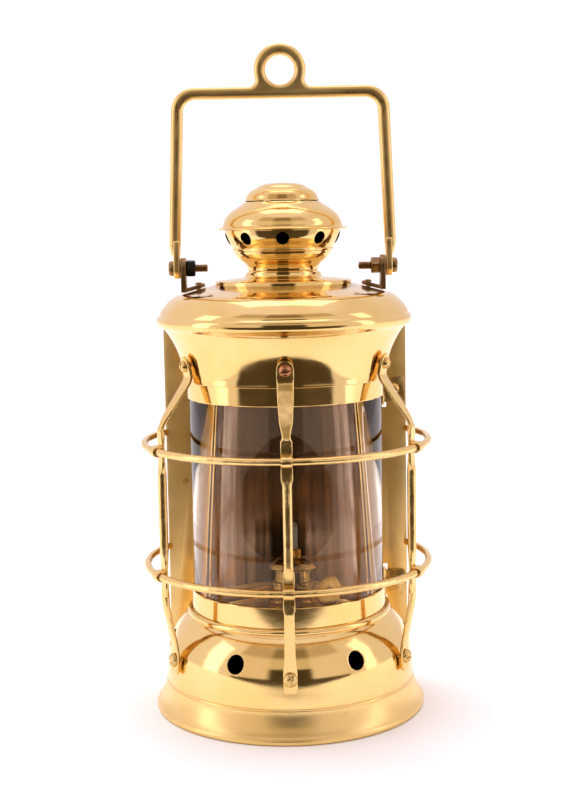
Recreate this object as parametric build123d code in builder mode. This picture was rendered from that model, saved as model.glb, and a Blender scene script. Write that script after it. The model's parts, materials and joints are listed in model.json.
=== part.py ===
from build123d import *
import math
import os

os.makedirs("parts", exist_ok=True)

# Ship lantern with a wire guard, a carrying bail and a wick burner.
# Millimetres. The origin is on the lantern's axis, level with the underside of the foot.
# +Z is up and the front faces -Y. Angles run round the axis from the front, positive to the right.

# ---------------------------------------------------------------- driving dimensions
sheet = 1.0                   # spun brass sheet of the body
thin_sheet = 0.75             # bands, tank and burner sheet
fit_gap = 0.15                # space left between nested sheets

foot_radius = 66.4            # widest point of the rolled foot
wall_radius = 60.6            # side wall of the base
band_radius = 47.9            # bands above and below the glass
shoulder_height = 46.6        # top of the base shoulder
lower_band_bottom = 49.3
lower_band_top = 59.2
upper_band_bottom = 153.0
upper_band_top = 162.8
vent_radius = 4.25            # air holes in the base shoulder
vent_height = 34.5
vent_first = -140.0           # angle of the first air hole
vent_step = 57.2
vent_count = 6

glass_thickness = 2.5
glass_end = 125.0             # the glass runs this far round to each side
glass_bottom = 54.6
glass_top = 158.0

rim_radius = 61.7             # rolled rim of the top
dome_seat = 203.4             # height where the dome turns into the flat crown
crown_radius = 33.0
neck_radius = 17.1
chimney_hole_radius = 3.0
chimney_hole_height = 229.2
chimney_hole_count = 9
cap_rim_height = 233.2
lantern_top = 255.5           # top of the knob, without the bail

plate_front = 31.0            # front face of the two back wings
plate_thickness = 1.0
wing_outer = 61.5
wing_bottom = 12.5
wing_top = 185.6

hinge_x = 49.0
hinge_y = 31.1
hinge_spans = (("upper", 144.9, 158.5), ("lower", 44.2, 57.8))
barrel_radius = 1.9
hinge_pin_radius = 0.95
running_gap = 0.05            # radial clearance of every pin that something turns on

door_radius = 58.0            # inside radius of the curved door
door_centre_y = -9.6          # centre of that curve
door_bottom = 50.4
door_top = 161.4
door_lap_y = 32.3             # front face of the door's flat edges
door_edge = 46.4              # outer edge of the flat edges

guard_angles = (-62.0, 0.0, 62.0)
guard_radius = 66.2           # centre line of the upright bars
bar_rod = 2.1                 # radius of the round lengths of a bar
strap_thickness = 1.7
ring_radius = 69.1            # centre line of the guard rings
ring_rod = 1.7
ring_heights = (71.8, 131.3)
clip_width = 5.2
lower_screw_height = 30.0
upper_screw_height = 170.2
upper_screw_radius = 53.3
upper_screw_tilt = -15.0

pivot_height = 215.4          # bail bolt
bail_bar_width = 5.4
bail_bar_depth = 7.0
bail_cross_height = 297.9
bail_bottom_x = 51.8
bail_top_x = 48.9
lug_inner = 49.6
lug_thickness = 3.0
eye_height = 308.4
eye_radius = 12.3
eye_hole_radius = 7.0
bracket_inner = 46.7
bracket_thickness = 2.5
bolt_radius = 1.95            # M4 bolts

burner_x = 2.0                # the burner collar sits a little to the right on the tank
tank_radius = 34.0
tank_bottom = 12.0
tank_top = 57.0
well_height = 53.6            # underside of the shelf that carries the tank
spindle_turn = 36.0           # the wick wheel points this far to the right of the front
spindle_height = 64.7
spindle_radius = 1.0
gear_radius = 3.0
wick_width = 8.6
wick_thickness = 1.6
wick_top = 92.0
wick_bottom = 23.0


# ---------------------------------------------------------------- directions and planes
def outward(angle, tilt=0.0):
    """Direction that points away from the axis, tilted up by tilt degrees."""
    around = math.radians(angle)
    lift = math.radians(tilt)
    level = math.cos(lift)
    return Vector(math.sin(around) * level, -math.cos(around) * level, math.sin(lift))


def facing(angle, radius=0.0, height=0.0, tilt=0.0):
    """Plane that faces outwards: its x axis runs round the lantern, its y axis upwards."""
    around = math.radians(angle)
    origin = outward(angle) * radius + Vector(0, 0, height)
    sideways = Vector(math.cos(around), math.sin(around), 0)
    return Plane(origin=origin, x_dir=sideways, z_dir=outward(angle, tilt))


def slice_plane(angle):
    """Upright plane through the axis: its x axis points outwards, its y axis upwards."""
    around = math.radians(angle)
    normal = Vector(-math.cos(around), -math.sin(around), 0)
    return Plane(origin=(0, 0, 0), x_dir=outward(angle), z_dir=normal)


def save(piece, name):
    """Label a finished piece and write it as its own file."""
    piece.part.label = name
    export_step(piece.part, f"parts/{name}.step")


# ---------------------------------------------------------------- spun sheet
def smooth_run(points):
    """One stretch of an outline: straight, one arc, or a smooth curve."""
    if len(points) == 2:
        return Line(*points)
    if len(points) == 3:
        return ThreePointArc(*points)
    return Spline(*points)


def inner_stretches(stretches, wall):
    """The same stretches moved one wall thickness to the inside."""
    chain = list(stretches[0])
    for stretch in stretches[1:]:
        chain += stretch[1:]
    moved = {}
    for index, point in enumerate(chain):
        before = Vector(*chain[max(index - 1, 0)])
        after = Vector(*chain[min(index + 1, len(chain) - 1)])
        run = (after - before).normalized()
        moved[point] = (point[0] - wall * run.Y, point[1] + wall * run.X)
    return [[moved[point] for point in stretch] for stretch in stretches]


def spun_sheet(stretches, wall):
    """A sheet turned about the axis: outer outline from bottom to top, wall added inwards."""
    inside = inner_stretches(stretches, wall)
    with BuildPart() as spun:
        with BuildSketch(Plane.XZ):
            with BuildLine():
                for stretch in stretches:
                    smooth_run(stretch)
                Line(stretches[-1][-1], inside[-1][-1])
                for stretch in inside:
                    smooth_run(stretch)
                Line(inside[0][0], stretches[0][0])
            make_face()
        revolve(axis=Axis.Z)
    return spun.part


def tube(outer, inner, bottom, top):
    """Plain ring about the axis."""
    with BuildPart() as ring:
        with BuildSketch(Plane.XY.offset(bottom)):
            Circle(outer)
            Circle(inner, mode=Mode.SUBTRACT)
        extrude(amount=top - bottom)
    return ring.part


def drill(plane, radius, depth):
    """Cutter for a hole that starts at a plane and runs along its normal."""
    with BuildPart() as cutter:
        with BuildSketch(plane):
            Circle(radius)
        extrude(amount=depth)
    return cutter.part


def upper_screw_plane(angle):
    """Plane of a top guard screw, just clear of the outer face of the strap's tab."""
    return facing(angle, upper_screw_radius + 0.06, upper_screw_height, upper_screw_tilt)


# ---------------------------------------------------------------- base
with BuildPart() as base_shell:
    foot_outline = [
        [(65.2, 0.0), (foot_radius, 1.5), (65.5, 3.2)],
        [(65.5, 3.2), (63.4, 7.1), (62.1, 10.1), (61.3, 13.6)],
        [(61.3, 13.6), (60.9, 14.7), (61.1, 15.8)],
        [(61.1, 15.8), (wall_radius, 22.0), (60.1, 28.4), (58.4, 34.4), (55.6, 40.0), (52.3, 44.4),
         (49.7, shoulder_height)],
        [(49.7, shoulder_height), (50.1, 48.0), (49.1, lower_band_bottom)],
        [(49.1, lower_band_bottom), (band_radius + fit_gap, lower_band_bottom)],
    ]
    add(spun_sheet(foot_outline, sheet))
    for index in range(vent_count):
        vent_plane = facing(vent_first + index * vent_step, 0, vent_height)
        add(drill(vent_plane, vent_radius, foot_radius), mode=Mode.SUBTRACT)
    for angle in guard_angles:
        add(drill(facing(angle, 50, lower_screw_height), 1.6, 20), mode=Mode.SUBTRACT)
save(base_shell, "base_shell")

with BuildPart() as base_floor:
    with BuildSketch():
        Circle(63.9)
    extrude(amount=1.2)
    fillet(base_floor.edges().sort_by(Axis.Z)[-1], radius=0.5)
save(base_floor, "base_floor")

with BuildPart() as tank_well_ring:
    add(tube(band_radius - thin_sheet - fit_gap, 36.4, well_height, well_height + 0.8))
    add(tube(37.2, 36.4, well_height - 3.0, well_height))
save(tank_well_ring, "tank_well_ring")

# ---------------------------------------------------------------- glass and its frame
with BuildPart() as lower_glass_band:
    add(tube(band_radius, band_radius - thin_sheet, 47.6, lower_band_top))
save(lower_glass_band, "lower_glass_band")

with BuildPart() as upper_glass_band:
    add(tube(band_radius, band_radius - thin_sheet, upper_band_bottom, upper_band_top + 2.0))
save(upper_glass_band, "upper_glass_band")

glass_outer = band_radius - thin_sheet - fit_gap
glass_inner = glass_outer - glass_thickness


def ring_sector(outer, inner, start, finish, bottom, top):
    """Upright strip of a ring between two angles, counted from the front."""
    turn = finish - start
    with BuildPart() as sector:
        with BuildSketch(slice_plane(start)):
            with Locations(((outer + inner) / 2, (bottom + top) / 2)):
                Rectangle(outer - inner, top - bottom)
        revolve(axis=Axis.Z, revolution_arc=turn)
    return sector.part


with BuildPart() as glass:
    add(ring_sector(glass_outer, glass_inner, -glass_end, glass_end, glass_bottom, glass_top))
save(glass, "glass")

channel_bottom = lower_band_top + 0.1
channel_top = upper_band_bottom - 0.1
for side, side_name in ((-1, "left"), (1, "right")):
    channel_start = 117.0
    channel_finish = 127.0
    start_angle = channel_start if side > 0 else -channel_finish
    web_start = glass_end + 0.2 if side > 0 else -channel_finish
    with BuildPart() as glass_channel:
        add(ring_sector(glass_outer + 1.0, glass_outer + 0.1, start_angle,
                        start_angle + channel_finish - channel_start, channel_bottom, channel_top))
        add(ring_sector(glass_inner - 0.1, glass_inner - 1.0, start_angle,
                        start_angle + channel_finish - channel_start, channel_bottom, channel_top))
        add(ring_sector(glass_outer + 1.0, glass_inner - 1.0, web_start,
                        web_start + channel_finish - glass_end - 0.2, channel_bottom, channel_top))
    save(glass_channel, f"glass_channel_{side_name}")

# ---------------------------------------------------------------- top and chimney
with BuildPart() as top_shell:
    top_outline = [
        [(49.3, 161.6), (49.2, 164.0), (50.5, 170.5), (54.0, 180.2), (58.3, 186.3)],
        [(58.3, 186.3), (rim_radius, 189.9), (60.1, 193.3)],
        [(60.1, 193.3), (59.5, 195.0), (57.3, 197.8), (54.6, 200.6), (51.1, 202.5), (47.0, dome_seat)],
        [(47.0, dome_seat), (crown_radius + 0.6, 207.3)],
    ]
    add(spun_sheet(top_outline, sheet))
    for angle in guard_angles:
        hole_plane = upper_screw_plane(angle)
        add(drill(hole_plane.offset(-10), 1.6, 14), mode=Mode.SUBTRACT)
    for side in (-1, 1):
        for row in (-1, 1):
            rivet_spot = Plane(origin=(side * 41.0, row * 3.2, 190.0))
            add(drill(rivet_spot, 0.9, 30), mode=Mode.SUBTRACT)
save(top_shell, "top_shell")

with BuildPart() as crown_plate:
    crown_outline = [
        [(crown_radius, 206.2), (crown_radius, 209.0)],
        [(crown_radius, 209.0), (19.6, 210.5)],
        [(19.6, 210.5), (neck_radius + fit_gap + sheet, 211.6)],
        [(neck_radius + fit_gap + sheet, 211.6), (neck_radius + fit_gap + sheet, 212.8)],
    ]
    add(spun_sheet(crown_outline, sheet))
save(crown_plate, "crown_plate")

with BuildPart() as chimney_body:
    chimney_outline = [
        [(neck_radius, 207.0), (neck_radius, 214.8)],
        [(neck_radius, 214.8), (17.7, 216.7), (19.5, 218.6), (21.9, 220.6), (23.4, 223.0)],
        [(23.4, 223.0), (24.1, 223.4)],
        [(24.1, 223.4), (25.3, 226.3), (27.0, 229.1), (27.8, 231.2), (28.0, 233.6)],
    ]
    add(spun_sheet(chimney_outline, thin_sheet))
    for index in range(chimney_hole_count):
        hole_plane = facing(index * 360 / chimney_hole_count, 0, chimney_hole_height)
        add(drill(hole_plane, chimney_hole_radius, 40), mode=Mode.SUBTRACT)
save(chimney_body, "chimney_body")

with BuildPart() as inner_flue:
    flue_outline = [
        [(24.0, 203.0), (16.1, 205.2)],
        [(16.1, 205.2), (15.4, 224.0)],
    ]
    add(spun_sheet(flue_outline, thin_sheet))
save(inner_flue, "inner_flue")

with BuildPart() as chimney_cap:
    cap_outline = [
        [(28.3, cap_rim_height), (30.9, cap_rim_height)],
        [(30.9, cap_rim_height), (31.2, 233.7), (30.9, 234.2)],
        [(30.9, 234.2), (30.0, 235.3), (27.7, 238.0), (25.9, 240.6), (23.2, 243.6), (19.4, 246.2)],
        [(19.4, 246.2), (17.9, 246.8)],
    ]
    with BuildSketch(Plane.XZ):
        with BuildLine():
            for stretch in cap_outline:
                smooth_run(stretch)
            Polyline((17.9, 246.8), (17.9, 246.0), (19.1, 245.4))
            Spline((19.1, 245.4), (22.7, 242.9), (25.3, 240.0), (27.0, 237.4), (28.3, 235.4))
            Line((28.3, 235.4), (28.3, cap_rim_height))
        make_face()
    revolve(axis=Axis.Z)
save(chimney_cap, "chimney_cap")

with BuildPart() as chimney_knob:
    with BuildSketch(Plane.XZ):
        with BuildLine():
            Line((0, 254.5), (0, lantern_top))
            Spline((0, lantern_top), (8.4, 254.7), (14.9, 252.0), (17.5, 249.2), (18.0, 246.9),
                   tangents=((1, 0), (0, -1)))
            Line((18.0, 246.9), (17.0, 246.9))
            Spline((17.0, 246.9), (16.6, 248.8), (14.3, 251.1), (8.1, 253.7), (0, 254.5),
                   tangents=((0, 1), (-1, 0)))
        make_face()
    revolve(axis=Axis.Z)
save(chimney_knob, "chimney_knob")

# ---------------------------------------------------------------- back wings
plate_rear = plate_front + plate_thickness
base_clear = math.sqrt(61.6 ** 2 - plate_front ** 2) + fit_gap
flare_clear = 50.6
leaf_screw_spots = ((55.4, 152.0), (56.2, 50.6))
latch_x = -52.2
latch_z = 106.0


def back_wing(side, inner_edge):
    """Flat wing beside the glass, cut back round the base and hemmed along its outer edge."""
    with BuildPart() as wing:
        with BuildSketch(Plane.XZ.offset(-plate_rear)):
            with BuildLine():
                Polyline(
                    (side * base_clear, wing_bottom),
                    (side * wing_outer, wing_bottom),
                    (side * wing_outer, wing_top),
                    (side * flare_clear, wing_top),
                    (side * inner_edge, 171.0),
                    (side * inner_edge, 45.5),
                    (side * 51.0, 36.5),
                    (side * base_clear, 31.0),
                    close=True,
                )
            make_face()
        extrude(amount=plate_thickness)
        hem_depth = 0.8
        with BuildSketch(Plane.XZ.offset(-plate_rear - hem_depth)):
            with Locations((side * (wing_outer - 1.5), (wing_bottom + wing_top) / 2)):
                Rectangle(3.0, wing_top - wing_bottom)
        extrude(amount=hem_depth)
    return wing.part


with BuildPart() as back_wing_left:
    add(back_wing(-1, 43.0))
    with BuildSketch(Plane.XZ.offset(-plate_rear - 1)):
        with Locations((latch_x, latch_z)):
            Circle(1.5)
    extrude(amount=4, mode=Mode.SUBTRACT)
save(back_wing_left, "back_wing_left")

with BuildPart() as back_wing_right:
    add(back_wing(1, 47.0))
    with BuildSketch(Plane.XZ.offset(-plate_rear - 1)):
        with Locations(*leaf_screw_spots):
            Circle(1.35)
        for _, low, high in hinge_spans:
            with Locations((hinge_x, (low + high) / 2)):
                Rectangle(4.8, high - low + 5.0)
    extrude(amount=4, mode=Mode.SUBTRACT)
save(back_wing_right, "back_wing_right")

# ---------------------------------------------------------------- hinges of the rear door
leaf_thickness = 1.0
knuckle = (158.5 - 144.9) / 3
knuckle_gap = 0.15


def barrel(bottom, top):
    """One hinge knuckle, bored for the pin."""
    with BuildPart() as knuckle_tube:
        with BuildSketch(Plane.XY.offset(bottom)):
            with Locations((hinge_x, hinge_y)):
                Circle(barrel_radius)
                Circle(hinge_pin_radius + running_gap, mode=Mode.SUBTRACT)
        extrude(amount=top - bottom)
    return knuckle_tube.part


def hinge_leaf(bottom, top, near, far, front):
    """Flat leaf that joins a barrel to its plate, with rounded outer corners."""
    middle = (near + far) / 2
    with BuildPart() as leaf:
        with BuildSketch(Plane.XZ.offset(-front - leaf_thickness)):
            with Locations((middle, (bottom + top) / 2)):
                RectangleRounded(abs(far - near), top - bottom, radius=1.8)
            square_end = near + (0.9 if far > near else -0.9)
            with Locations((square_end, (bottom + top) / 2)):
                Rectangle(1.8, top - bottom)
        extrude(amount=leaf_thickness)
        with BuildSketch(Plane.XY.offset(bottom - 1)):
            with Locations((hinge_x, hinge_y)):
                Circle(barrel_radius + 0.25)
        extrude(amount=top - bottom + 2, mode=Mode.SUBTRACT)
    return leaf.part


fixed_leaf_front = plate_front - leaf_thickness
for place, low, high in hinge_spans:
    screw_spot = leaf_screw_spots[0] if place == "upper" else leaf_screw_spots[1]
    with BuildPart() as fixed_leaf:
        add(hinge_leaf(low, high, hinge_x, 60.9, fixed_leaf_front))
        for start in (low, high - knuckle):
            add(barrel(start, start + knuckle - knuckle_gap))
            with BuildSketch(Plane.XY.offset(start)):
                with Locations((hinge_x + 2.0, fixed_leaf_front + leaf_thickness / 2)):
                    Rectangle(1.6, leaf_thickness)
            extrude(amount=knuckle - knuckle_gap)
        with BuildSketch(Plane.XZ.offset(-plate_front - 1)):
            with Locations(screw_spot):
                Circle(1.35)
        extrude(amount=4, mode=Mode.SUBTRACT)
    save(fixed_leaf, f"hinge_leaf_{place}")

with BuildPart() as hinge_pins:
    for _, low, high in hinge_spans:
        with BuildSketch(Plane.XY.offset(low - 0.9)):
            with Locations((hinge_x, hinge_y)):
                Circle(hinge_pin_radius)
        extrude(amount=high - low + 1.8 - knuckle_gap)
        for cap_start in (low - 1.1, high - knuckle_gap + 0.1):
            with BuildSketch(Plane.XY.offset(cap_start)):
                with Locations((hinge_x, hinge_y)):
                    Circle(1.5)
            extrude(amount=1.0)
save(hinge_pins, "hinge_pins")


def round_head_screw(plane, head_radius, head_height, shank_radius, shank_length, slot_turn):
    """Slotted round-head screw whose head stands on the plane and whose shank runs behind it."""
    with BuildPart() as screw:
        with BuildSketch(plane):
            Circle(shank_radius)
        extrude(amount=-shank_length)
        with BuildSketch(plane):
            Circle(head_radius)
        extrude(amount=head_height)
        crown = screw.faces().sort_by(Axis(plane.origin, plane.z_dir))[-1]
        fillet(crown.edges(), radius=head_height * 0.85)
        with BuildSketch(plane.offset(head_height)):
            Rectangle(head_radius * 2.4, 1.0, rotation=slot_turn)
        extrude(amount=-head_height * 0.45, mode=Mode.SUBTRACT)
    return screw.part


with BuildPart() as hinge_screws:
    for spot, turn in zip(leaf_screw_spots, (-30, 80)):
        screw_plane = Plane(origin=(spot[0], fixed_leaf_front, spot[1]), x_dir=(1, 0, 0), z_dir=(0, -1, 0))
        add(round_head_screw(screw_plane, 2.7, 1.8, 1.3, 4.2, turn))
save(hinge_screws, "hinge_screws")

# ---------------------------------------------------------------- rear door
door_spring_x = math.sqrt(door_radius ** 2 - (door_lap_y - door_centre_y) ** 2)
reflector_gap = 0.2
reflector_sheet = 0.5


def curved_door_sheet(radius, wall, half_width, bottom, top):
    """Upright sheet bowed to the rear about the door's own centre line."""
    spring = math.sqrt(radius ** 2 - half_width ** 2) + door_centre_y
    back = math.sqrt((radius + wall) ** 2 - half_width ** 2) + door_centre_y
    with BuildPart() as bowed:
        with BuildSketch(Plane.XY.offset(bottom)):
            with BuildLine():
                ThreePointArc((-half_width, spring), (0, door_centre_y + radius), (half_width, spring))
                Line((half_width, spring), (half_width, back))
                ThreePointArc((half_width, back), (0, door_centre_y + radius + wall), (-half_width, back))
                Line((-half_width, back), (-half_width, spring))
            make_face()
        extrude(amount=top - bottom)
    return bowed.part


with BuildPart() as door_panel:
    add(curved_door_sheet(door_radius, sheet, door_spring_x, door_bottom, door_top))
    for side in (-1, 1):
        with BuildSketch(Plane.XY.offset(door_bottom)):
            with Locations((side * (door_spring_x + door_edge - 0.8) / 2, door_lap_y + sheet / 2)):
                Rectangle(door_edge - door_spring_x + 0.8, sheet)
        extrude(amount=door_top - door_bottom)
save(door_panel, "door_panel")

with BuildPart() as reflector:
    add(curved_door_sheet(door_radius - reflector_gap - reflector_sheet, reflector_sheet, 36.4,
                          lower_band_top + 1.6, upper_band_bottom - 1.6))
save(reflector, "reflector")

with BuildPart() as door_hinge_leaves:
    for _, low, high in hinge_spans:
        middle_low = low + knuckle
        add(barrel(middle_low, middle_low + knuckle - knuckle_gap))
        with BuildSketch(Plane.XY.offset(middle_low)):
            with BuildLine():
                Polyline(
                    (hinge_x + 0.3, hinge_y + 1.65),
                    (hinge_x - 0.8, hinge_y + 2.3),
                    (41.6, door_lap_y + sheet + 0.1),
                    (41.6, door_lap_y + sheet + 0.9),
                    (hinge_x - 1.0, door_lap_y + sheet + 0.9),
                    (hinge_x + 0.6, hinge_y + 1.8),
                    close=True,
                )
            make_face()
        extrude(amount=knuckle - knuckle_gap)
save(door_hinge_leaves, "door_hinge_leaves")

# ---------------------------------------------------------------- latch of the rear door
button_front = door_lap_y + sheet + 0.5
with BuildPart() as latch_rivet:
    rivet_plane = Plane(origin=(latch_x, plate_rear, latch_z), x_dir=(-1, 0, 0), z_dir=(0, 1, 0))
    with BuildSketch(rivet_plane.offset(-1.6)):
        Circle(1.45)
    extrude(amount=5.4)
    with BuildSketch(rivet_plane.offset(0.05)):
        Circle(2.6)
    extrude(amount=button_front - plate_rear - 0.15)
    with BuildSketch(rivet_plane.offset(3.5)):
        Circle(2.4)
    extrude(amount=1.0)
    fillet(latch_rivet.faces().sort_by(Axis.Y)[-1].edges(), radius=0.6)
save(latch_rivet, "latch_rivet")

with BuildPart() as turn_button:
    button_plane = Plane(origin=(latch_x, button_front, latch_z), x_dir=(0, 0, 1), z_dir=(0, 1, 0))
    with BuildSketch(button_plane):
        Ellipse(9.2, 3.4)
        Circle(1.45 + running_gap, mode=Mode.SUBTRACT)
    extrude(amount=1.5)
save(turn_button, "turn_button")

# ---------------------------------------------------------------- wire guard
tab_slope = math.tan(math.radians(-upper_screw_tilt))
tab_middle_radius = upper_screw_radius - strap_thickness / 2


def guard_bar(angle):
    """Upright bar: a flat foot, round rod lengths, flats at the rings and a flat tab at the top."""
    tab_low = (tab_middle_radius - tab_slope * 6.0, upper_screw_height - 6.0)
    tab_high = (tab_middle_radius + tab_slope * 4.6, upper_screw_height + 4.6)
    with BuildPart() as bar:
        with BuildSketch(slice_plane(angle)) as side_view:
            with BuildLine() as spine:
                FilletPolyline(
                    (62.1, 23.4), (61.6, 34.5), (guard_radius, 58.0), (guard_radius, 140.5), tab_low, tab_high,
                    radius=5.0,
                )
            trace(line_width=strap_thickness)
        extrude(amount=6, both=True)
        with BuildSketch(facing(angle)) as front_view:
            with BuildLine():
                Polyline(
                    (3.3, 20), (3.3, 34), (2.6, 42), (2.4, 60), (2.6, 66), (2.6, 78), (2.0, 84), (2.0, 120),
                    (2.6, 126), (2.7, 138), (2.1, 141), (3.1, 147), (3.8, 160), (4.0, 170.4), (4.0, 180),
                    (-4.0, 180), (-4.0, 170.4), (-3.8, 160), (-3.1, 147), (-2.1, 141), (-2.7, 138),
                    (-2.6, 126), (-2.0, 120), (-2.0, 84), (-2.6, 78), (-2.6, 66), (-2.4, 60), (-2.6, 42),
                    (-3.3, 34), (-3.3, 20), close=True,
                )
            make_face()
        extrude(amount=90, mode=Mode.INTERSECT)
        for start, finish in ((56.0, 66.0), (78.0, 125.5), (137.6, 141.5)):
            with BuildSketch(Plane.XY.offset(start)):
                with Locations(outward(angle) * guard_radius):
                    Circle(bar_rod)
            extrude(amount=finish - start)
        add(drill(facing(angle, 50, lower_screw_height), 1.6, 20), mode=Mode.SUBTRACT)
        add(drill(upper_screw_plane(angle).offset(-8), 1.6, 16), mode=Mode.SUBTRACT)
    return bar.part


guard_names = ("guard_bar_left", "guard_bar_front", "guard_bar_right")
for angle, bar_name in zip(guard_angles, guard_names):
    with BuildPart() as guard_upright:
        add(guard_bar(angle))
    save(guard_upright, bar_name)

for ring_height, ring_name in zip(ring_heights, ("guard_ring_lower", "guard_ring_upper")):
    with BuildPart() as guard_ring:
        with BuildSketch(slice_plane(-125)):
            with Locations((ring_radius, ring_height)):
                Circle(ring_rod)
        revolve(axis=Axis.Z, revolution_arc=250)
        with BuildSketch(Plane.XZ.offset(-plate_front + 0.05)):
            with Locations((0, ring_height)):
                Rectangle(200, 12)
        extrude(amount=-60, mode=Mode.SUBTRACT)
    save(guard_ring, ring_name)

with BuildPart() as guard_clips:
    strap_face = guard_radius + strap_thickness / 2
    for angle in guard_angles:
        for ring_height in ring_heights:
            with BuildPart(mode=Mode.PRIVATE) as clip:
                with BuildSketch(slice_plane(angle)):
                    with Locations((ring_radius, ring_height)):
                        Circle(ring_rod + 0.95)
                    with Locations((ring_radius - 1.2, ring_height)):
                        Rectangle(2.2, 2 * (ring_rod + 0.95))
                    with Locations((ring_radius, ring_height)):
                        Circle(ring_rod + 0.12, mode=Mode.SUBTRACT)
                    with Locations((ring_radius - 6, ring_height)):
                        Rectangle(2 * (6 + strap_face + 0.02 - ring_radius), 12, mode=Mode.SUBTRACT)
                    with Locations((ring_radius - 1.2, ring_height)):
                        Rectangle(2.6, 2 * (ring_rod + 0.12), mode=Mode.SUBTRACT)
                extrude(amount=clip_width / 2, both=True)
            add(clip.part)
save(guard_clips, "guard_clips")

with BuildPart() as guard_screws_top:
    for angle, turn in zip(guard_angles, (70, 10, 45)):
        add(round_head_screw(upper_screw_plane(angle), 2.9, 2.2, 1.5, 5.4, turn))
save(guard_screws_top, "guard_screws_top")

foot_face = 62.1 - 0.1 + strap_thickness / 2
with BuildPart() as guard_screws_bottom:
    for angle, turn in zip(guard_angles, (20, 65, 0)):
        screw_plane = facing(angle, foot_face, lower_screw_height)
        add(round_head_screw(screw_plane, 3.35, 2.4, 1.5, 6.0, turn))
save(guard_screws_bottom, "guard_screws_bottom")

# ---------------------------------------------------------------- bail and its brackets
bracket_half_width = 5.1
for side, side_name in ((-1, "left"), (1, "right")):
    with BuildPart() as bail_bracket:
        upright_start = bracket_inner if side > 0 else -bracket_inner - bracket_thickness
        with BuildSketch(Plane.YZ.offset(upright_start)):
            with Locations((0, (203.9 + pivot_height) / 2)):
                Rectangle(2 * bracket_half_width, pivot_height - 203.9)
            with Locations((0, pivot_height)):
                Circle(bracket_half_width)
                Circle(bolt_radius + 0.1, mode=Mode.SUBTRACT)
        extrude(amount=bracket_thickness)
        foot_slope = (207.3 - dome_seat) / (47.0 - crown_radius - 0.6)
        foot_low = dome_seat + 0.12
        foot_tip = foot_low + foot_slope * (47.0 - 37.2)
        with BuildSketch(Plane.XZ):
            with BuildLine():
                Polyline(
                    (side * 47.2, foot_low + 0.45),
                    (side * 37.2, foot_tip),
                    (side * 37.2, foot_tip + 1.7),
                    (side * 47.2, foot_low + 2.2),
                    close=True,
                )
            make_face()
        extrude(amount=bracket_half_width, both=True)
        for row in (-1, 1):
            rivet_spot = Plane(origin=(side * 41.0, row * 3.2, 200.0))
            add(drill(rivet_spot, 0.9, 14), mode=Mode.SUBTRACT)
    save(bail_bracket, f"bail_bracket_{side_name}")

with BuildPart() as bracket_rivets:
    rivet_face = 206.85 + 0.72
    for side in (-1, 1):
        for row in (-1, 1):
            with Locations((side * 41.0, row * 3.2, rivet_face - 5.6)):
                Cylinder(0.85, 6.0, align=(Align.CENTER, Align.CENTER, Align.MIN))
            with Locations((side * 41.0, row * 3.2, rivet_face)):
                Cylinder(1.5, 1.0, align=(Align.CENTER, Align.CENTER, Align.MIN))
    fillet(bracket_rivets.edges().filter_by(GeomType.CIRCLE).group_by(Axis.Z)[-1], radius=0.6)
save(bracket_rivets, "bracket_rivets")

lug_outer = lug_inner + lug_thickness
for side, side_name in ((-1, "left"), (1, "right")):
    with BuildPart() as bail_bolt:
        bolt_plane = Plane(origin=(side * (lug_outer + 0.1), 0, pivot_height), x_dir=(0, 1, 0), z_dir=(side, 0, 0))
        with BuildSketch(bolt_plane):
            Circle(bolt_radius)
        extrude(amount=-16.6)
        with BuildSketch(bolt_plane):
            Circle(3.6)
        extrude(amount=2.5)
        bolt_head = bail_bolt.faces().sort_by(Axis(bolt_plane.origin, bolt_plane.z_dir))[-1]
        chamfer(bolt_head.edges(), length=0.6)
        bolt_tip = bail_bolt.faces().sort_by(Axis(bolt_plane.origin, bolt_plane.z_dir))[0]
        chamfer(bolt_tip.edges(), length=0.5)
    save(bail_bolt, f"bail_bolt_{side_name}")
    with BuildPart() as bail_nut:
        nut_plane = Plane(origin=(side * (bracket_inner - 0.05), 0, pivot_height), x_dir=(0, 1, 0), z_dir=(-side, 0, 0))
        with BuildSketch(nut_plane):
            RegularPolygon(4.1, 6)
            Circle(bolt_radius + 0.03, mode=Mode.SUBTRACT)
        extrude(amount=4.3)
    save(bail_nut, f"bail_nut_{side_name}")

with BuildPart() as bail:
    with BuildLine(Plane.XZ) as bail_path:
        FilletPolyline(
            (-bail_bottom_x, pivot_height + 8.0),
            (-bail_top_x, bail_cross_height),
            (bail_top_x, bail_cross_height),
            (bail_bottom_x, pivot_height + 8.0),
            radius=8.5,
        )
    with BuildSketch(Plane.XY.offset(pivot_height + 8.0)) as bar_section:
        with Locations((-bail_bottom_x, 0)):
            RectangleRounded(bail_bar_width, bail_bar_depth, radius=2.4)
    sweep(path=bail_path.line, transition=Transition.ROUND)
    with BuildSketch(Plane.XZ):
        with Locations((0, eye_height)):
            Circle(eye_radius)
        with Locations((0, (eye_height + bail_cross_height) / 2)):
            Rectangle(2 * eye_radius - 1.0, eye_height - bail_cross_height)
    extrude(amount=bail_bar_depth / 2, both=True)
    with BuildSketch(Plane.XZ):
        with Locations((0, eye_height)):
            Circle(eye_hole_radius)
    extrude(amount=bail_bar_depth, both=True, mode=Mode.SUBTRACT)
    for side in (-1, 1):
        lug_start = lug_inner if side > 0 else -lug_outer
        with BuildSketch(Plane.YZ.offset(lug_start)):
            with Locations((0, pivot_height)):
                Circle(5.0)
            with Locations((0, pivot_height + 6.5)):
                Rectangle(bail_bar_depth + 1.0, 13.0)
        extrude(amount=lug_thickness)
        with BuildSketch(Plane.YZ.offset(side * 45.0)):
            with Locations((0, pivot_height)):
                Circle(bolt_radius + running_gap)
        extrude(amount=side * 12.0, mode=Mode.SUBTRACT)
save(bail, "bail")

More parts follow.
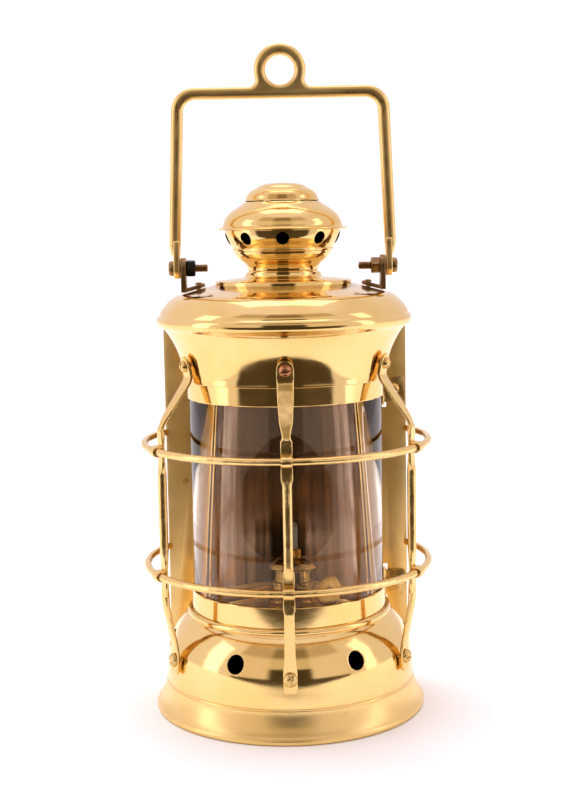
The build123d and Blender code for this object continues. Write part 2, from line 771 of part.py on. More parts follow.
# ---------------------------------------------------------------- oil tank and burner
burner_spot = (burner_x, 0)
collar_radius = 11.9
body_radius = 10.65
band_top_radius = 9.2
dome_radius = 11.4
spindle_direction = outward(spindle_turn)
spindle_side = Vector(math.cos(math.radians(spindle_turn)), math.sin(math.radians(spindle_turn)), 0)
gear_offset = wick_thickness / 2 + 0.35 + gear_radius
spindle_centre = Vector(burner_x, 0, spindle_height) - spindle_side * gear_offset
spindle_plane = Plane(origin=spindle_centre, x_dir=spindle_side, z_dir=spindle_direction)
wick_plane = Plane(origin=(burner_x, 0, 0), x_dir=spindle_direction, z_dir=(0, 0, 1))


def burner_cup(radius, hole, bottom, top):
    """Closed-topped cup of thin sheet about the burner's own axis."""
    with BuildPart() as cup:
        with BuildSketch(Plane.XY.offset(bottom)):
            with Locations(burner_spot):
                Circle(radius)
        extrude(amount=top - bottom)
        with BuildSketch(Plane.XY.offset(bottom)):
            with Locations(burner_spot):
                Circle(radius - thin_sheet)
        extrude(amount=top - bottom - thin_sheet, mode=Mode.SUBTRACT)
        with BuildSketch(Plane.XY.offset(top - 2)):
            with Locations(burner_spot):
                Circle(hole)
        extrude(amount=4, mode=Mode.SUBTRACT)
    return cup.part


with BuildPart() as oil_tank:
    with BuildSketch(Plane.XY.offset(tank_bottom)):
        Circle(tank_radius)
    extrude(amount=tank_top - tank_bottom)
    fillet(oil_tank.edges().filter_by(GeomType.CIRCLE), radius=2.5)
    offset(amount=-thin_sheet, mode=Mode.SUBTRACT)
    add(tube(39.0, tank_radius - 0.4, well_height + 1.0, well_height + 1.8))
    with BuildSketch(Plane.XY.offset(tank_top - 3)):
        with Locations(burner_spot):
            Circle(8.0)
    extrude(amount=6, mode=Mode.SUBTRACT)
save(oil_tank, "oil_tank")

with BuildPart() as burner_collar:
    with BuildSketch(Plane.XY.offset(tank_top)):
        with Locations(burner_spot):
            Circle(collar_radius)
            Circle(8.0, mode=Mode.SUBTRACT)
    extrude(amount=2.0)
save(burner_collar, "burner_collar")

with BuildPart() as burner_body:
    add(burner_cup(body_radius, band_top_radius - thin_sheet, tank_top + 2.0, 66.6))
    with BuildSketch(spindle_plane):
        Circle(spindle_radius + running_gap)
    extrude(amount=40, mode=Mode.SUBTRACT)
save(burner_body, "burner_body")

with BuildPart() as burner_gallery:
    add(burner_cup(band_top_radius, 7.6, 66.6, 71.6))
save(burner_gallery, "burner_gallery")

with BuildPart() as flame_dome:
    with BuildSketch(Plane.XZ):
        with BuildLine():
            Polyline((5.0, 71.7), (dome_radius, 71.7), (dome_radius, 72.8))
            Spline((dome_radius, 72.8), (9.6, 75.0), (6.4, 76.6), (0, 77.2))
            Polyline((0, 77.2), (0, 76.4))
            Spline((0, 76.4), (6.0, 75.8), (8.6, 74.6), (9.8, 72.5))
            Polyline((9.8, 72.5), (5.0, 72.5), (5.0, 71.7))
        make_face()
    revolve(axis=Axis.Z)
    with BuildSketch(wick_plane.offset(70)) as dome_slot:
        with Locations(wick_plane.to_local_coords(Vector(0, 0, 0))):
            RectangleRounded(12.4, 5.2, radius=1.5)
    extrude(amount=12, mode=Mode.SUBTRACT)
flame_dome.part = flame_dome.part.moved(Location((burner_x, 0, 0)))
save(flame_dome, "flame_dome")

with BuildPart() as wick_tube:
    with BuildSketch(wick_plane.offset(69.2)):
        RectangleRounded(wick_width + 2.2, wick_thickness + 2.2, radius=1.3)
        RectangleRounded(wick_width + 0.8, wick_thickness + 0.8, radius=0.8, mode=Mode.SUBTRACT)
    extrude(amount=80.4 - 69.2)
    with BuildSketch(wick_plane.offset(69.2)):
        Circle(7.4)
        RectangleRounded(wick_width + 0.8, wick_thickness + 0.8, radius=0.8, mode=Mode.SUBTRACT)
    extrude(amount=1.0)
save(wick_tube, "wick_tube")

with BuildPart() as wick:
    with BuildSketch(wick_plane.offset(wick_bottom)):
        RectangleRounded(wick_width, wick_thickness, radius=0.6)
    extrude(amount=wick_top - wick_bottom)
save(wick, "wick")

wheel_reach = 32.4
wheel_radius = 7.0
wheel_thickness = 2.0
with BuildPart() as wick_spindle:
    with BuildSketch(spindle_plane.offset(-6.5)):
        Circle(spindle_radius)
    extrude(amount=wheel_reach + 6.5 + wheel_thickness + 0.6)
save(wick_spindle, "wick_spindle")

with BuildPart() as wick_gears:
    for start in (-3.4, 2.2):
        with BuildSketch(spindle_plane.offset(start)):
            Circle(gear_radius - 0.7)
            with PolarLocations(gear_radius - 0.75, 10):
                Rectangle(1.4, 0.9)
            Circle(spindle_radius, mode=Mode.SUBTRACT)
        extrude(amount=1.2)
save(wick_gears, "wick_gears")

with BuildPart() as thumb_wheel:
    with BuildSketch(spindle_plane.offset(wheel_reach)):
        Circle(wheel_radius)
        with PolarLocations(wheel_radius + 0.12, 36):
            Circle(0.32, mode=Mode.SUBTRACT)
        Circle(spindle_radius, mode=Mode.SUBTRACT)
    extrude(amount=wheel_thickness)
    with BuildSketch(spindle_plane.offset(wheel_reach + wheel_thickness)):
        Circle(2.0)
        Circle(spindle_radius, mode=Mode.SUBTRACT)
    extrude(amount=0.6)
save(thumb_wheel, "thumb_wheel")
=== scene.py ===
import json
import math

import bmesh
import bpy
from mathutils import Matrix, Vector


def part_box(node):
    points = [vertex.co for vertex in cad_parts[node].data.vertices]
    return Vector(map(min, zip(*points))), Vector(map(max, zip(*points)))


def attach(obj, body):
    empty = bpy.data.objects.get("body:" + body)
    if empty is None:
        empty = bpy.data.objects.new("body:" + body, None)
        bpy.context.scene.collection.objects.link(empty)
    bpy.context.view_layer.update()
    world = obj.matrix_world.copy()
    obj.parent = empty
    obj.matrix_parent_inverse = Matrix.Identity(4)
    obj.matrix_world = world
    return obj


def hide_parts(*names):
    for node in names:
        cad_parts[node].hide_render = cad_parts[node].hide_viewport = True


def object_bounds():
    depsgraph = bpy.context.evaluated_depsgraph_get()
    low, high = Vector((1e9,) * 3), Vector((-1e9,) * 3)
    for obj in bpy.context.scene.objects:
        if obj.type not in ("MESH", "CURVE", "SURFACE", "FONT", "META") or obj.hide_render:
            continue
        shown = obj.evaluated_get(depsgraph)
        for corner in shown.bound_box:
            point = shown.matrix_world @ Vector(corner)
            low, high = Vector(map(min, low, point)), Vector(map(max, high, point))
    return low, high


bl_info = {
    "name": "Ship Lantern",
    "version": (1, 0, 0),
    "blender": (4, 5, 0),
    "location": "View3D > Sidebar > Lantern",
    "description": "Models a polished brass ship lantern round its packed frame",
    "category": "Object",
}

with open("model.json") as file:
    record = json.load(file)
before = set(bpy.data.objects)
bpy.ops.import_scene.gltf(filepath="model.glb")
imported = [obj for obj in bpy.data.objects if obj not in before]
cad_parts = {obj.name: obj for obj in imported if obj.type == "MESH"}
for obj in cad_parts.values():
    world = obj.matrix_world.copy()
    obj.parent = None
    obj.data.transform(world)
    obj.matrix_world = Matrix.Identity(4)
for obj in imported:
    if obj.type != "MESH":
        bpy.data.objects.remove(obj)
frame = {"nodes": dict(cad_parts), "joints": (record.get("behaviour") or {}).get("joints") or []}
CAD_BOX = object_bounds()

MM = 0.001
FULL_TURN = 2 * math.pi
GUARD_ANGLES = (-62.0, 0.0, 62.0)      # guard bars, counted from the front, positive to the right
SIDES = ((-1, "left"), (1, "right"))


def mid(node):
    """Middle of a CAD node's box."""
    low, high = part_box(node)
    return (low + high) / 2


def heights(node):
    """Bottom and top of a CAD node in millimetres."""
    low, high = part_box(node)
    return low.z / MM, high.z / MM


def joint_named(name):
    return next(joint for joint in frame["joints"] if joint["name"] == name)


# Places taken from the frame, in millimetres.
PIVOT_HEIGHT = joint_named("bail_swing")["pos_m"][2] / MM
HINGE_AXIS = tuple(value / MM for value in joint_named("door_swing")["pos_m"][:2])
WHEEL_AXIS = Vector(joint_named("wheel_turn")["axis"])
WHEEL_SPOT = Vector(joint_named("wheel_turn")["pos_m"]) / MM
BURNER_X = mid("burner_collar").x / MM
RINGS = ("guard_ring_lower", "guard_ring_upper")
HINGES = ("hinge_leaf_upper", "hinge_leaf_lower")
RING_HEIGHTS = tuple(mid(node).z / MM for node in RINGS)
BAR_RADIUS = 66.2          # upright run of the guard bars, from the axis
WING_FRONT = 30.0          # face of the right wing that carries the hinge leaves

# How square a bar's section is: 1 is round, less is flatter.
ROUND = 1.0
FLAT = 0.32


# ---------------------------------------------------------------- values a user may change
class LanternValues(bpy.types.PropertyGroup):
    """Sizes and colours of the lantern."""
    turn_steps: bpy.props.IntProperty(
        name="Turned steps", description="Steps round a large turned shell", default=224, min=48, max=512)
    sheet: bpy.props.FloatProperty(
        name="Sheet", description="Thickness of the spun brass", default=1.0 * MM, unit="LENGTH")
    thin_sheet: bpy.props.FloatProperty(
        name="Thin sheet", description="Thickness of the bands and the burner", default=0.75 * MM,
        unit="LENGTH")
    brass: bpy.props.FloatVectorProperty(
        name="Brass", description="Polished brass", default=(0.92, 0.66, 0.27), subtype="COLOR", min=0, max=1)
    brass_deep: bpy.props.FloatVectorProperty(
        name="Deep brass", description="Warmer patches of the brass", default=(0.88, 0.585, 0.195),
        subtype="COLOR", min=0, max=1)
    old_brass: bpy.props.FloatVectorProperty(
        name="Old brass", description="Burner darkened by heat", default=(0.50, 0.32, 0.09),
        subtype="COLOR", min=0, max=1)
    # Darker brass for the bail fixings. On the brackets the dark colour is painted shade for the shadow they
    # sit in. The bolts, nut and rivets are aged, unpolished brass.
    aged_and_shaded_brass: bpy.props.FloatVectorProperty(
        name="Aged and shaded brass", description="Brackets and bolts, which nobody polishes",
        default=(0.50, 0.31, 0.14), subtype="COLOR", min=0, max=1)
    # Near-black colour: soot inside the chimney and cap, and painted shade inside the base shell.
    soot_and_shade: bpy.props.FloatVectorProperty(
        name="Soot", description="Inside of the chimney", default=(0.030, 0.016, 0.010),
        subtype="COLOR", min=0, max=1)
    copper: bpy.props.FloatVectorProperty(
        name="Copper", description="The odd screw at the front", default=(0.80, 0.36, 0.19),
        subtype="COLOR", min=0, max=1)
    # Reflector colour: tin darkened to a mauve brown, painted shade standing in for the dark room the
    # reflector mirrors.
    shaded_tin: bpy.props.FloatVectorProperty(
        name="Tin", description="Bright sheet of the reflector", default=(0.36, 0.27, 0.22),
        subtype="COLOR", min=0, max=1)
    dark_steel: bpy.props.FloatVectorProperty(
        name="Dark steel", description="Blackened nut", default=(0.045, 0.038, 0.032),
        subtype="COLOR", min=0, max=1)
    cotton: bpy.props.FloatVectorProperty(
        name="Cotton", description="Wick tape", default=(0.62, 0.59, 0.53), subtype="COLOR", min=0, max=1)
    glass_tint: bpy.props.FloatVectorProperty(
        name="Glass tint", description="Faint colour of the glass", default=(0.955, 0.87, 0.765),
        subtype="COLOR", min=0, max=1)
    floor: bpy.props.FloatVectorProperty(
        name="Floor", description="Pale floor", default=(0.88, 0.87, 0.86), subtype="COLOR", min=0, max=1)


def values():
    return bpy.context.scene.lantern_values


def darker(colour, share):
    return tuple(channel * share for channel in colour)


# ---------------------------------------------------------------- node materials
def add_node(tree, kind, **sockets):
    """New shader node; keyword names are socket names with _ for spaces."""
    made = tree.nodes.new(kind)
    for name, value in sockets.items():
        socket = made.inputs[name.replace("_", " ")]
        if isinstance(value, bpy.types.NodeSocket):
            tree.links.new(value, socket)
        else:
            socket.default_value = value
    return made


def new_material(name):
    """Empty node material with a Principled shader wired to its output."""
    material = bpy.data.materials.new("lantern_" + name)
    material.use_nodes = True
    tree = material.node_tree
    tree.nodes.clear()
    output = tree.nodes.new("ShaderNodeOutputMaterial")
    shader = tree.nodes.new("ShaderNodeBsdfPrincipled")
    tree.links.new(shader.outputs["BSDF"], output.inputs["Surface"])
    return material, tree, shader


def blend_ramp(tree, factor, low, high, start=0.35, end=0.65):
    """Colour that goes from low to high as the factor rises."""
    ramp = add_node(tree, "ShaderNodeValToRGB", Fac=factor)
    ramp.color_ramp.elements[0].position = start
    ramp.color_ramp.elements[0].color = (*low, 1)
    ramp.color_ramp.elements[1].position = end
    ramp.color_ramp.elements[1].color = (*high, 1)
    return ramp.outputs["Color"]


def number_range(tree, factor, low, high):
    """Number that goes from low to high as the factor rises."""
    spreader = add_node(tree, "ShaderNodeMapRange", Value=factor, From_Min=0.3, From_Max=0.7,
                        To_Min=low, To_Max=high)
    return spreader.outputs["Result"]


def stretched(tree, scale, spin=(0, 0, 0)):
    """Object coordinates scaled along each axis."""
    place = tree.nodes.new("ShaderNodeTexCoord")
    mapping = add_node(tree, "ShaderNodeMapping", Vector=place.outputs["Object"], Scale=scale, Rotation=spin)
    return mapping.outputs["Vector"]


def noise(tree, scale, size=1.0, detail=3.0, rough=0.55):
    """Noise over object coordinates; scale is counts per metre along each axis."""
    made = add_node(tree, "ShaderNodeTexNoise", Vector=stretched(tree, scale), Scale=size,
                    Detail=detail, Roughness=rough)
    return made.outputs["Fac"]


def polished(name, colour, deep, rough=(0.06, 0.15), marks=(900, 900, 6000), mark_depth=0.010,
             waver=0.30, waver_scale=26.0, grime=0.0, dull_below=0.0):
    """Polished metal: tone patches, wiped smears, fine buffing marks and a slight waver of the sheet.

    Below the height dull_below the metal is duller, as a foot is that gets handled."""
    material, tree, shader = new_material(name)
    patches = noise(tree, (38, 38, 30), detail=4.0)
    tone = blend_ramp(tree, patches, deep, colour, 0.25, 0.62)
    if grime:
        specks = noise(tree, (420, 420, 420), detail=6.0, rough=0.7)
        dark = darker(deep, 1 - grime)
        veil = add_node(tree, "ShaderNodeMix", Factor=number_range(tree, specks, 0.75, 0.0))
        veil.data_type = "RGBA"
        tree.links.new(tone, veil.inputs[6])
        veil.inputs[7].default_value = (*dark, 1)
        tone = veil.outputs[2]
    tree.links.new(tone, shader.inputs["Base Color"])
    smears = noise(tree, (55, 55, 160), detail=5.0, rough=0.62)
    roughness = number_range(tree, smears, rough[0], rough[1])
    if dull_below:
        parts = add_node(tree, "ShaderNodeSeparateXYZ", Vector=stretched(tree, (1, 1, 1)))
        dull = add_node(tree, "ShaderNodeMapRange", Value=parts.outputs["Z"], From_Min=dull_below - 0.004,
                        From_Max=dull_below, To_Min=0.20, To_Max=0.0)
        worn = tree.nodes.new("ShaderNodeMath")
        tree.links.new(dull.outputs["Result"], worn.inputs[0])
        tree.links.new(roughness, worn.inputs[1])
        roughness = worn.outputs[0]
    tree.links.new(roughness, shader.inputs["Roughness"])
    shader.inputs["Metallic"].default_value = 1.0
    lines = noise(tree, marks, detail=2.0)
    sheet_waver = noise(tree, (waver_scale, waver_scale, waver_scale * 0.8), detail=1.5)
    slow = add_node(tree, "ShaderNodeBump", Strength=waver, Distance=0.0016, Height=sheet_waver)
    fine = add_node(tree, "ShaderNodeBump", Strength=mark_depth, Distance=0.0003, Height=lines,
                    Normal=slow.outputs["Normal"])
    tree.links.new(fine.outputs["Normal"], shader.inputs["Normal"])
    return material


def clear_glass(name, tint):
    """Thick clear glass with faint drawn ripples, and a warm painted tint on its reflections."""
    material, tree, shader = new_material(name)
    patches = noise(tree, (22, 22, 5), detail=2.0)
    bright = tuple(min(1.0, channel * 1.03) for channel in tint)
    tree.links.new(blend_ramp(tree, patches, tint, bright), shader.inputs["Base Color"])
    dust = noise(tree, (300, 300, 80), detail=5.0)
    tree.links.new(number_range(tree, dust, 0.0, 0.015), shader.inputs["Roughness"])
    shader.inputs["Transmission Weight"].default_value = 1.0
    shader.inputs["IOR"].default_value = 1.47
    # Warm specular tint: a painted cream-gold reflection colour on the glass.
    shader.inputs["Specular Tint"].default_value = (1.0, 0.80, 0.58, 1)
    ripple = add_node(tree, "ShaderNodeBump", Strength=0.05, Distance=0.001,
                      Height=noise(tree, (70, 70, 9), detail=1.0))
    tree.links.new(ripple.outputs["Normal"], shader.inputs["Normal"])
    return material


def woven_cotton(name, colour):
    """Flat woven tape: warp and weft from two waves."""
    material, tree, shader = new_material(name)
    place = stretched(tree, (1, 1, 1))
    warp = add_node(tree, "ShaderNodeTexWave", Vector=place, Scale=700.0, Distortion=1.2, Detail=2.0)
    warp.bands_direction = "X"
    weft = add_node(tree, "ShaderNodeTexWave", Vector=place, Scale=620.0, Distortion=1.5, Detail=2.0)
    weft.bands_direction = "Z"
    weave = add_node(tree, "ShaderNodeMath")
    weave.operation = "MULTIPLY"
    tree.links.new(warp.outputs["Fac"], weave.inputs[0])
    tree.links.new(weft.outputs["Fac"], weave.inputs[1])
    dull = darker(colour, 0.42)
    tree.links.new(blend_ramp(tree, weave.outputs[0], dull, colour, 0.1, 0.6), shader.inputs["Base Color"])
    shader.inputs["Roughness"].default_value = 0.95
    shader.inputs["Sheen Weight"].default_value = 0.3
    bump = add_node(tree, "ShaderNodeBump", Strength=0.6, Distance=0.0004, Height=weave.outputs[0])
    tree.links.new(bump.outputs["Normal"], shader.inputs["Normal"])
    return material


def rolled_tin(name, colour):
    """Tinned sheet with upright rolling streaks, in the colour given; for the reflector that colour is
    darkened tin, painted shade for the dark room it mirrors.
    """
    material, tree, shader = new_material(name)
    streaks = noise(tree, (260, 260, 3), detail=4.0, rough=0.6)
    broad = noise(tree, (70, 70, 2), detail=2.0)
    dark = darker(colour, 0.55)
    tree.links.new(blend_ramp(tree, streaks, dark, colour, 0.3, 0.6), shader.inputs["Base Color"])
    tree.links.new(number_range(tree, broad, 0.07, 0.18), shader.inputs["Roughness"])
    shader.inputs["Metallic"].default_value = 1.0
    wide = add_node(tree, "ShaderNodeBump", Strength=0.6, Distance=0.0016, Height=broad)
    fine = add_node(tree, "ShaderNodeBump", Strength=0.25, Distance=0.0003, Height=streaks,
                    Normal=wide.outputs["Normal"])
    tree.links.new(fine.outputs["Normal"], shader.inputs["Normal"])
    return material


def pale_floor(name, colour):
    """Pale matt floor with a hardly visible mottle."""
    material, tree, shader = new_material(name)
    mottle = noise(tree, (9, 9, 9), detail=3.0)
    low = darker(colour, 0.985)
    tree.links.new(blend_ramp(tree, mottle, low, colour), shader.inputs["Base Color"])
    shader.inputs["Roughness"].default_value = 0.7
    return material


def make_materials():
    """Every material of the lantern, by plain name."""
    own = values()
    brass = tuple(own.brass)
    deep = tuple(own.brass_deep)
    old = tuple(own.old_brass)
    polished("spun_brass", brass, deep)
    polished("foot_brass", brass, deep, dull_below=0.0165)
    # Aged and shaded brass: aged bolts and rivets, and brackets darkened as painted shade.
    polished("aged_and_shaded_brass", tuple(own.aged_and_shaded_brass), darker(own.aged_and_shaded_brass, 0.6), rough=(0.2, 0.4), grime=0.6)
    polished("lamp_soot_and_shade", tuple(own.soot_and_shade), darker(own.soot_and_shade, 0.5), rough=(0.5, 0.7))
    polished("band_brass", brass, deep, waver=0.12, waver_scale=18.0)
    polished("wing_brass", brass, deep, rough=(0.32, 0.46), marks=(4000, 4000, 300), waver=0.25)
    polished("wire_brass", brass, deep, rough=(0.16, 0.32), marks=(2500, 2500, 500), waver=0.4,
             waver_scale=130)
    polished("cast_brass", brass, deep, rough=(0.24, 0.40), marks=(700, 700, 700), mark_depth=0.03, waver=0.3,
             waver_scale=60)
    polished("screw_brass", brass, deep, rough=(0.18, 0.34), marks=(3000, 3000, 3000), waver=0.1, grime=0.45)
    polished("burner_brass", old, darker(old, 0.6), rough=(0.07, 0.17), waver=0.15, grime=0.6)
    polished("copper", tuple(own.copper), darker(own.copper, 0.6), rough=(0.2, 0.4), grime=0.5)
    polished("dark_steel", tuple(own.dark_steel), darker(own.dark_steel, 0.5), rough=(0.3, 0.5), grime=0.3)
    clear_glass("lamp_glass", tuple(own.glass_tint))
    woven_cotton("wick_cotton", tuple(own.cotton))
    # The reflector's darkened tin colour is painted shade for the dark room it mirrors.
    rolled_tin("rolled_tin", tuple(own.shaded_tin))
    pale_floor("pale_floor", tuple(own.floor))


def material(name):
    return bpy.data.materials["lantern_" + name]


# ---------------------------------------------------------------- modelling helpers
def start_clean():
    """Object mode with nothing selected."""
    if bpy.context.object and bpy.context.object.mode != "OBJECT":
        bpy.ops.object.mode_set(mode="OBJECT")
    bpy.ops.object.select_all(action="DESELECT")


def pick(*pieces):
    """Select only these objects and make the first active."""
    start_clean()
    for piece in pieces:
        piece.select_set(True)
    bpy.context.view_layer.objects.active = pieces[0]


def start_point(name, spot):
    """New object with one vertex, left selected in edit mode; spot is in millimetres."""
    start_clean()
    bpy.ops.mesh.primitive_plane_add(size=MM, location=(0, 0, 0))
    piece = bpy.context.object
    piece.name = name
    bpy.ops.object.mode_set(mode="EDIT")
    bpy.ops.mesh.select_mode(type="VERT")
    bpy.ops.mesh.select_all(action="SELECT")
    bpy.ops.mesh.merge(type="CENTER")
    bpy.ops.transform.translate(value=Vector(spot) * MM)
    return piece


def draw_on(points):
    """Extrude the selected vertex or edge along points in millimetres, the first being where it is."""
    for here, there in zip(points, points[1:]):
        step = (Vector(there) - Vector(here)) * MM
        bpy.ops.mesh.extrude_region_move(TRANSFORM_OT_translate={"value": step})


def close_outline():
    """Join the two free ends of the drawn outline."""
    bpy.ops.mesh.select_all(action="SELECT")
    edit = bmesh.from_edit_mesh(bpy.context.object.data)
    for vertex in edit.verts:
        vertex.select_set(len(vertex.link_edges) == 1)
    edit.select_flush_mode()
    bmesh.update_edit_mesh(bpy.context.object.data)
    bpy.ops.mesh.edge_face_add()


def smooth_run(keys, step=1.2):
    """Points of a smooth line through key points, about one step apart; two keys stay a straight line."""
    if len(keys) == 2:
        return [Vector(keys[0]), Vector(keys[1])]
    points = [Vector(key) for key in keys]
    run = [points[0]]
    for index in range(len(points) - 1):
        here = points[index]
        there = points[index + 1]
        before = points[index - 1] if index > 0 else here
        after = points[index + 2] if index + 2 < len(points) else there
        reach = (there - here).length
        leave = (there - before).normalized() * reach
        arrive = (after - here).normalized() * reach
        pieces = max(2, round(reach / step))
        for count in range(1, pieces + 1):
            along = count / pieces
            square = along * along
            cube = square * along
            run.append(here * (2 * cube - 3 * square + 1) + leave * (cube - 2 * square + along)
                       + there * (3 * square - 2 * cube) + arrive * (cube - square))
    return run


def outline(stretches, step=1.2):
    """One line of points (radius, height); each smooth stretch starts where the one before it ended."""
    line = []
    last = ()
    for keys in stretches:
        run = smooth_run((*last, *keys), step)
        line += run if not line else run[1:]
        last = keys[-1:]
    return line


def walled(line, wall):
    """Closed section: the outer line and the same line one wall further in, in millimetres."""
    inner = []
    for index, here in enumerate(line):
        before = line[max(index - 1, 0)]
        after = line[min(index + 1, len(line) - 1)]
        run = (after - before).normalized()
        inner.append(here + Vector((-run.y, run.x)) * wall)
    return line + inner[::-1]


def face_out(merge=False):
    """Point every face outwards and leave edit mode; merge closes the seams left by spinning first."""
    bpy.ops.mesh.select_all(action="SELECT")
    if merge:
        bpy.ops.mesh.remove_doubles(threshold=0.002 * MM)
    bpy.ops.mesh.normals_make_consistent(inside=False)
    bpy.ops.object.mode_set(mode="OBJECT")


def turned(name, section, closed=True, steps=None, centre=(0.0, 0.0)):
    """Spin a section (radius, height) once round an upright axis."""
    steps = steps or values().turn_steps
    spots = [(centre[0] + point[0], centre[1], point[1]) for point in section]
    piece = start_point(name, spots[0])
    draw_on(spots)
    if closed:
        close_outline()
    bpy.ops.mesh.select_all(action="SELECT")
    bpy.ops.mesh.spin(steps=steps, angle=FULL_TURN, center=(centre[0] * MM, centre[1] * MM, 0),
                      axis=(0, 0, 1))
    face_out(merge=True)
    return piece


def resize(piece, size):
    """Scale the piece and keep its new size in its mesh."""
    pick(piece)
    piece.scale = size
    bpy.ops.object.transform_apply(location=False, rotation=False, scale=True)


def apply_modifier(piece, kind, **settings):
    """Add a modifier, set it and apply it."""
    pick(piece)
    added = piece.modifiers.new(kind.title(), kind)
    for name, value in settings.items():
        setattr(added, name, value)
    bpy.ops.object.modifier_apply(modifier=added.name)


def soften(piece, width=0.22, segments=2, angle=40, clamp=True):
    """Round the sharp edges; width is in millimetres."""
    apply_modifier(piece, "BEVEL", width=width * MM, segments=segments, limit_method="ANGLE",
                   angle_limit=math.radians(angle), use_clamp_overlap=clamp)


def cut(piece, *cutters):
    """Take the cutters away from the piece, and remove them."""
    for cutter in cutters:
        apply_modifier(piece, "BOOLEAN", operation="DIFFERENCE", solver="EXACT", object=cutter)
        bpy.data.objects.remove(cutter)


def place(piece, matrix):
    """Put the piece where a matrix in millimetres says, and keep that place in its mesh."""
    pick(piece)
    shift = matrix.copy()
    shift.translation = matrix.translation * MM
    piece.matrix_world = shift @ piece.matrix_world
    bpy.ops.object.transform_apply(location=True, rotation=True, scale=True)


def rod(name, radius, start, end, sides=32):
    """Round bar between two points in millimetres."""
    start = Vector(start)
    end = Vector(end)
    start_clean()
    bpy.ops.mesh.primitive_cylinder_add(vertices=sides, radius=radius * MM, depth=(end - start).length * MM)
    piece = bpy.context.object
    piece.name = name
    turn = (end - start).to_track_quat("Z", "Y").to_matrix().to_4x4()
    turn.translation = (start + end) / 2
    place(piece, turn)
    return piece


def merge_pieces(name, *pieces):
    """Join several objects into one."""
    pick(*pieces)
    if len(pieces) > 1:
        bpy.ops.object.join()
    pieces[0].name = name
    return pieces[0]


def dress(piece, finish, *nodes, body="lantern", slot="polished_brass", angle=32):
    """Shade the piece, give it its material, and say which body it rides and which CAD nodes it shows."""
    pick(piece)
    bpy.ops.object.transform_apply(location=True, rotation=True, scale=True)
    bpy.ops.object.shade_smooth_by_angle(angle=math.radians(angle))
    if not piece.data.materials:
        piece.data.materials.append(material(finish))
    elif piece.data.materials[0] is None:
        piece.data.materials[0] = material(finish)
    piece.data.name = piece.name
    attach(piece, body)
    if nodes:
        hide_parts(*nodes)
    return piece


def blacken_inside(piece, from_height):
    """Near-black soot finish on every face above from_height that looks towards the axis: soot in the chimney
    and cap, painted shade inside the base shell.
    """
    piece.data.materials.append(None)
    piece.data.materials.append(material("lamp_soot_and_shade"))
    for face in piece.data.polygons:
        reach = Vector((face.center.x, face.center.y, 0)).normalized()
        if face.normal.dot(reach) < -0.05 and face.center.z > from_height * MM:
            face.material_index = 1


def dress_node(node, finish):
    """Give a CAD node that already has the right shape its finish."""
    cad = frame["nodes"][node]
    cad.data.materials.clear()
    cad.data.materials.append(material(finish))


def outward(angle, tilt=0.0):
    """Direction away from the axis, angle degrees round from the front."""
    around = math.radians(angle)
    lift = math.radians(tilt)
    level = math.cos(lift)
    return Vector((math.sin(around) * level, -math.cos(around) * level, math.sin(lift)))


def looking(normal, spot, up=(0, 0, 1)):
    """Matrix whose z axis is the normal and whose y axis is as near upright as it can be."""
    z_axis = Vector(normal).normalized()
    x_axis = Vector(up).cross(z_axis).normalized()
    y_axis = z_axis.cross(x_axis)
    turn = Matrix((x_axis, y_axis, z_axis)).transposed().to_4x4()
    turn.translation = Vector(spot)
    return turn


def standing(back):
    """Matrix that stands a plate up facing the front, its back at y = back."""
    turn = Matrix.Rotation(math.radians(90), 4, "X")
    turn.translation = Vector((0, back, 0))
    return turn


def along_wheel(*spot):
    """Matrix that turns a piece to the wick wheel's spindle and puts it at spot."""
    turn = Matrix.Rotation(math.atan2(WHEEL_AXIS.y, WHEEL_AXIS.x), 4, "Z")
    turn.translation = Vector(spot)
    return turn


def rounded_outline(corners, arc_steps=6):
    """Closed outline from corners (x, y, radius), each rounded by an arc."""
    points = []
    total = len(corners)
    for index, (x, y, radius) in enumerate(corners):
        here = Vector((x, y))
        if radius <= 0:
            points.append(here)
            continue
        before = (Vector(corners[index - 1][:2]) - here).normalized()
        after = (Vector(corners[(index + 1) % total][:2]) - here).normalized()
        half = before.angle(after) / 2
        back = radius / math.tan(half)
        centre = here + (before + after).normalized() * (radius / math.sin(half))
        start = here + before * back - centre
        end = here + after * back - centre
        sweep = start.angle_signed(end)
        for count in range(arc_steps + 1):
            part = -sweep * count / arc_steps
            turned_x = start.x * math.cos(part) - start.y * math.sin(part)
            turned_y = start.x * math.sin(part) + start.y * math.cos(part)
            points.append(centre + Vector((turned_x, turned_y)))
    return points


def plate(name, corners, thickness, edge=0.25, holes=(), arc_steps=6, edge_segments=2):
    """Flat plate in its own xy plane, from z = 0 up; sizes in millimetres; holes are (x, y, radius)."""
    points = rounded_outline(corners, arc_steps)
    spots = [(point.x, point.y, 0) for point in points]
    piece = start_point(name, spots[0])
    draw_on(spots)
    close_outline()
    bpy.ops.mesh.select_all(action="SELECT")
    bpy.ops.mesh.edge_face_add()
    bpy.ops.mesh.extrude_region_move(TRANSFORM_OT_translate={"value": (0, 0, thickness * MM)})
    face_out()
    cutters = [rod("cutter", radius, (x, y, -5), (x, y, thickness + 5), 40) for x, y, radius in holes]
    cut(piece, *cutters)
    if edge:
        soften(piece, edge, edge_segments)
    return piece


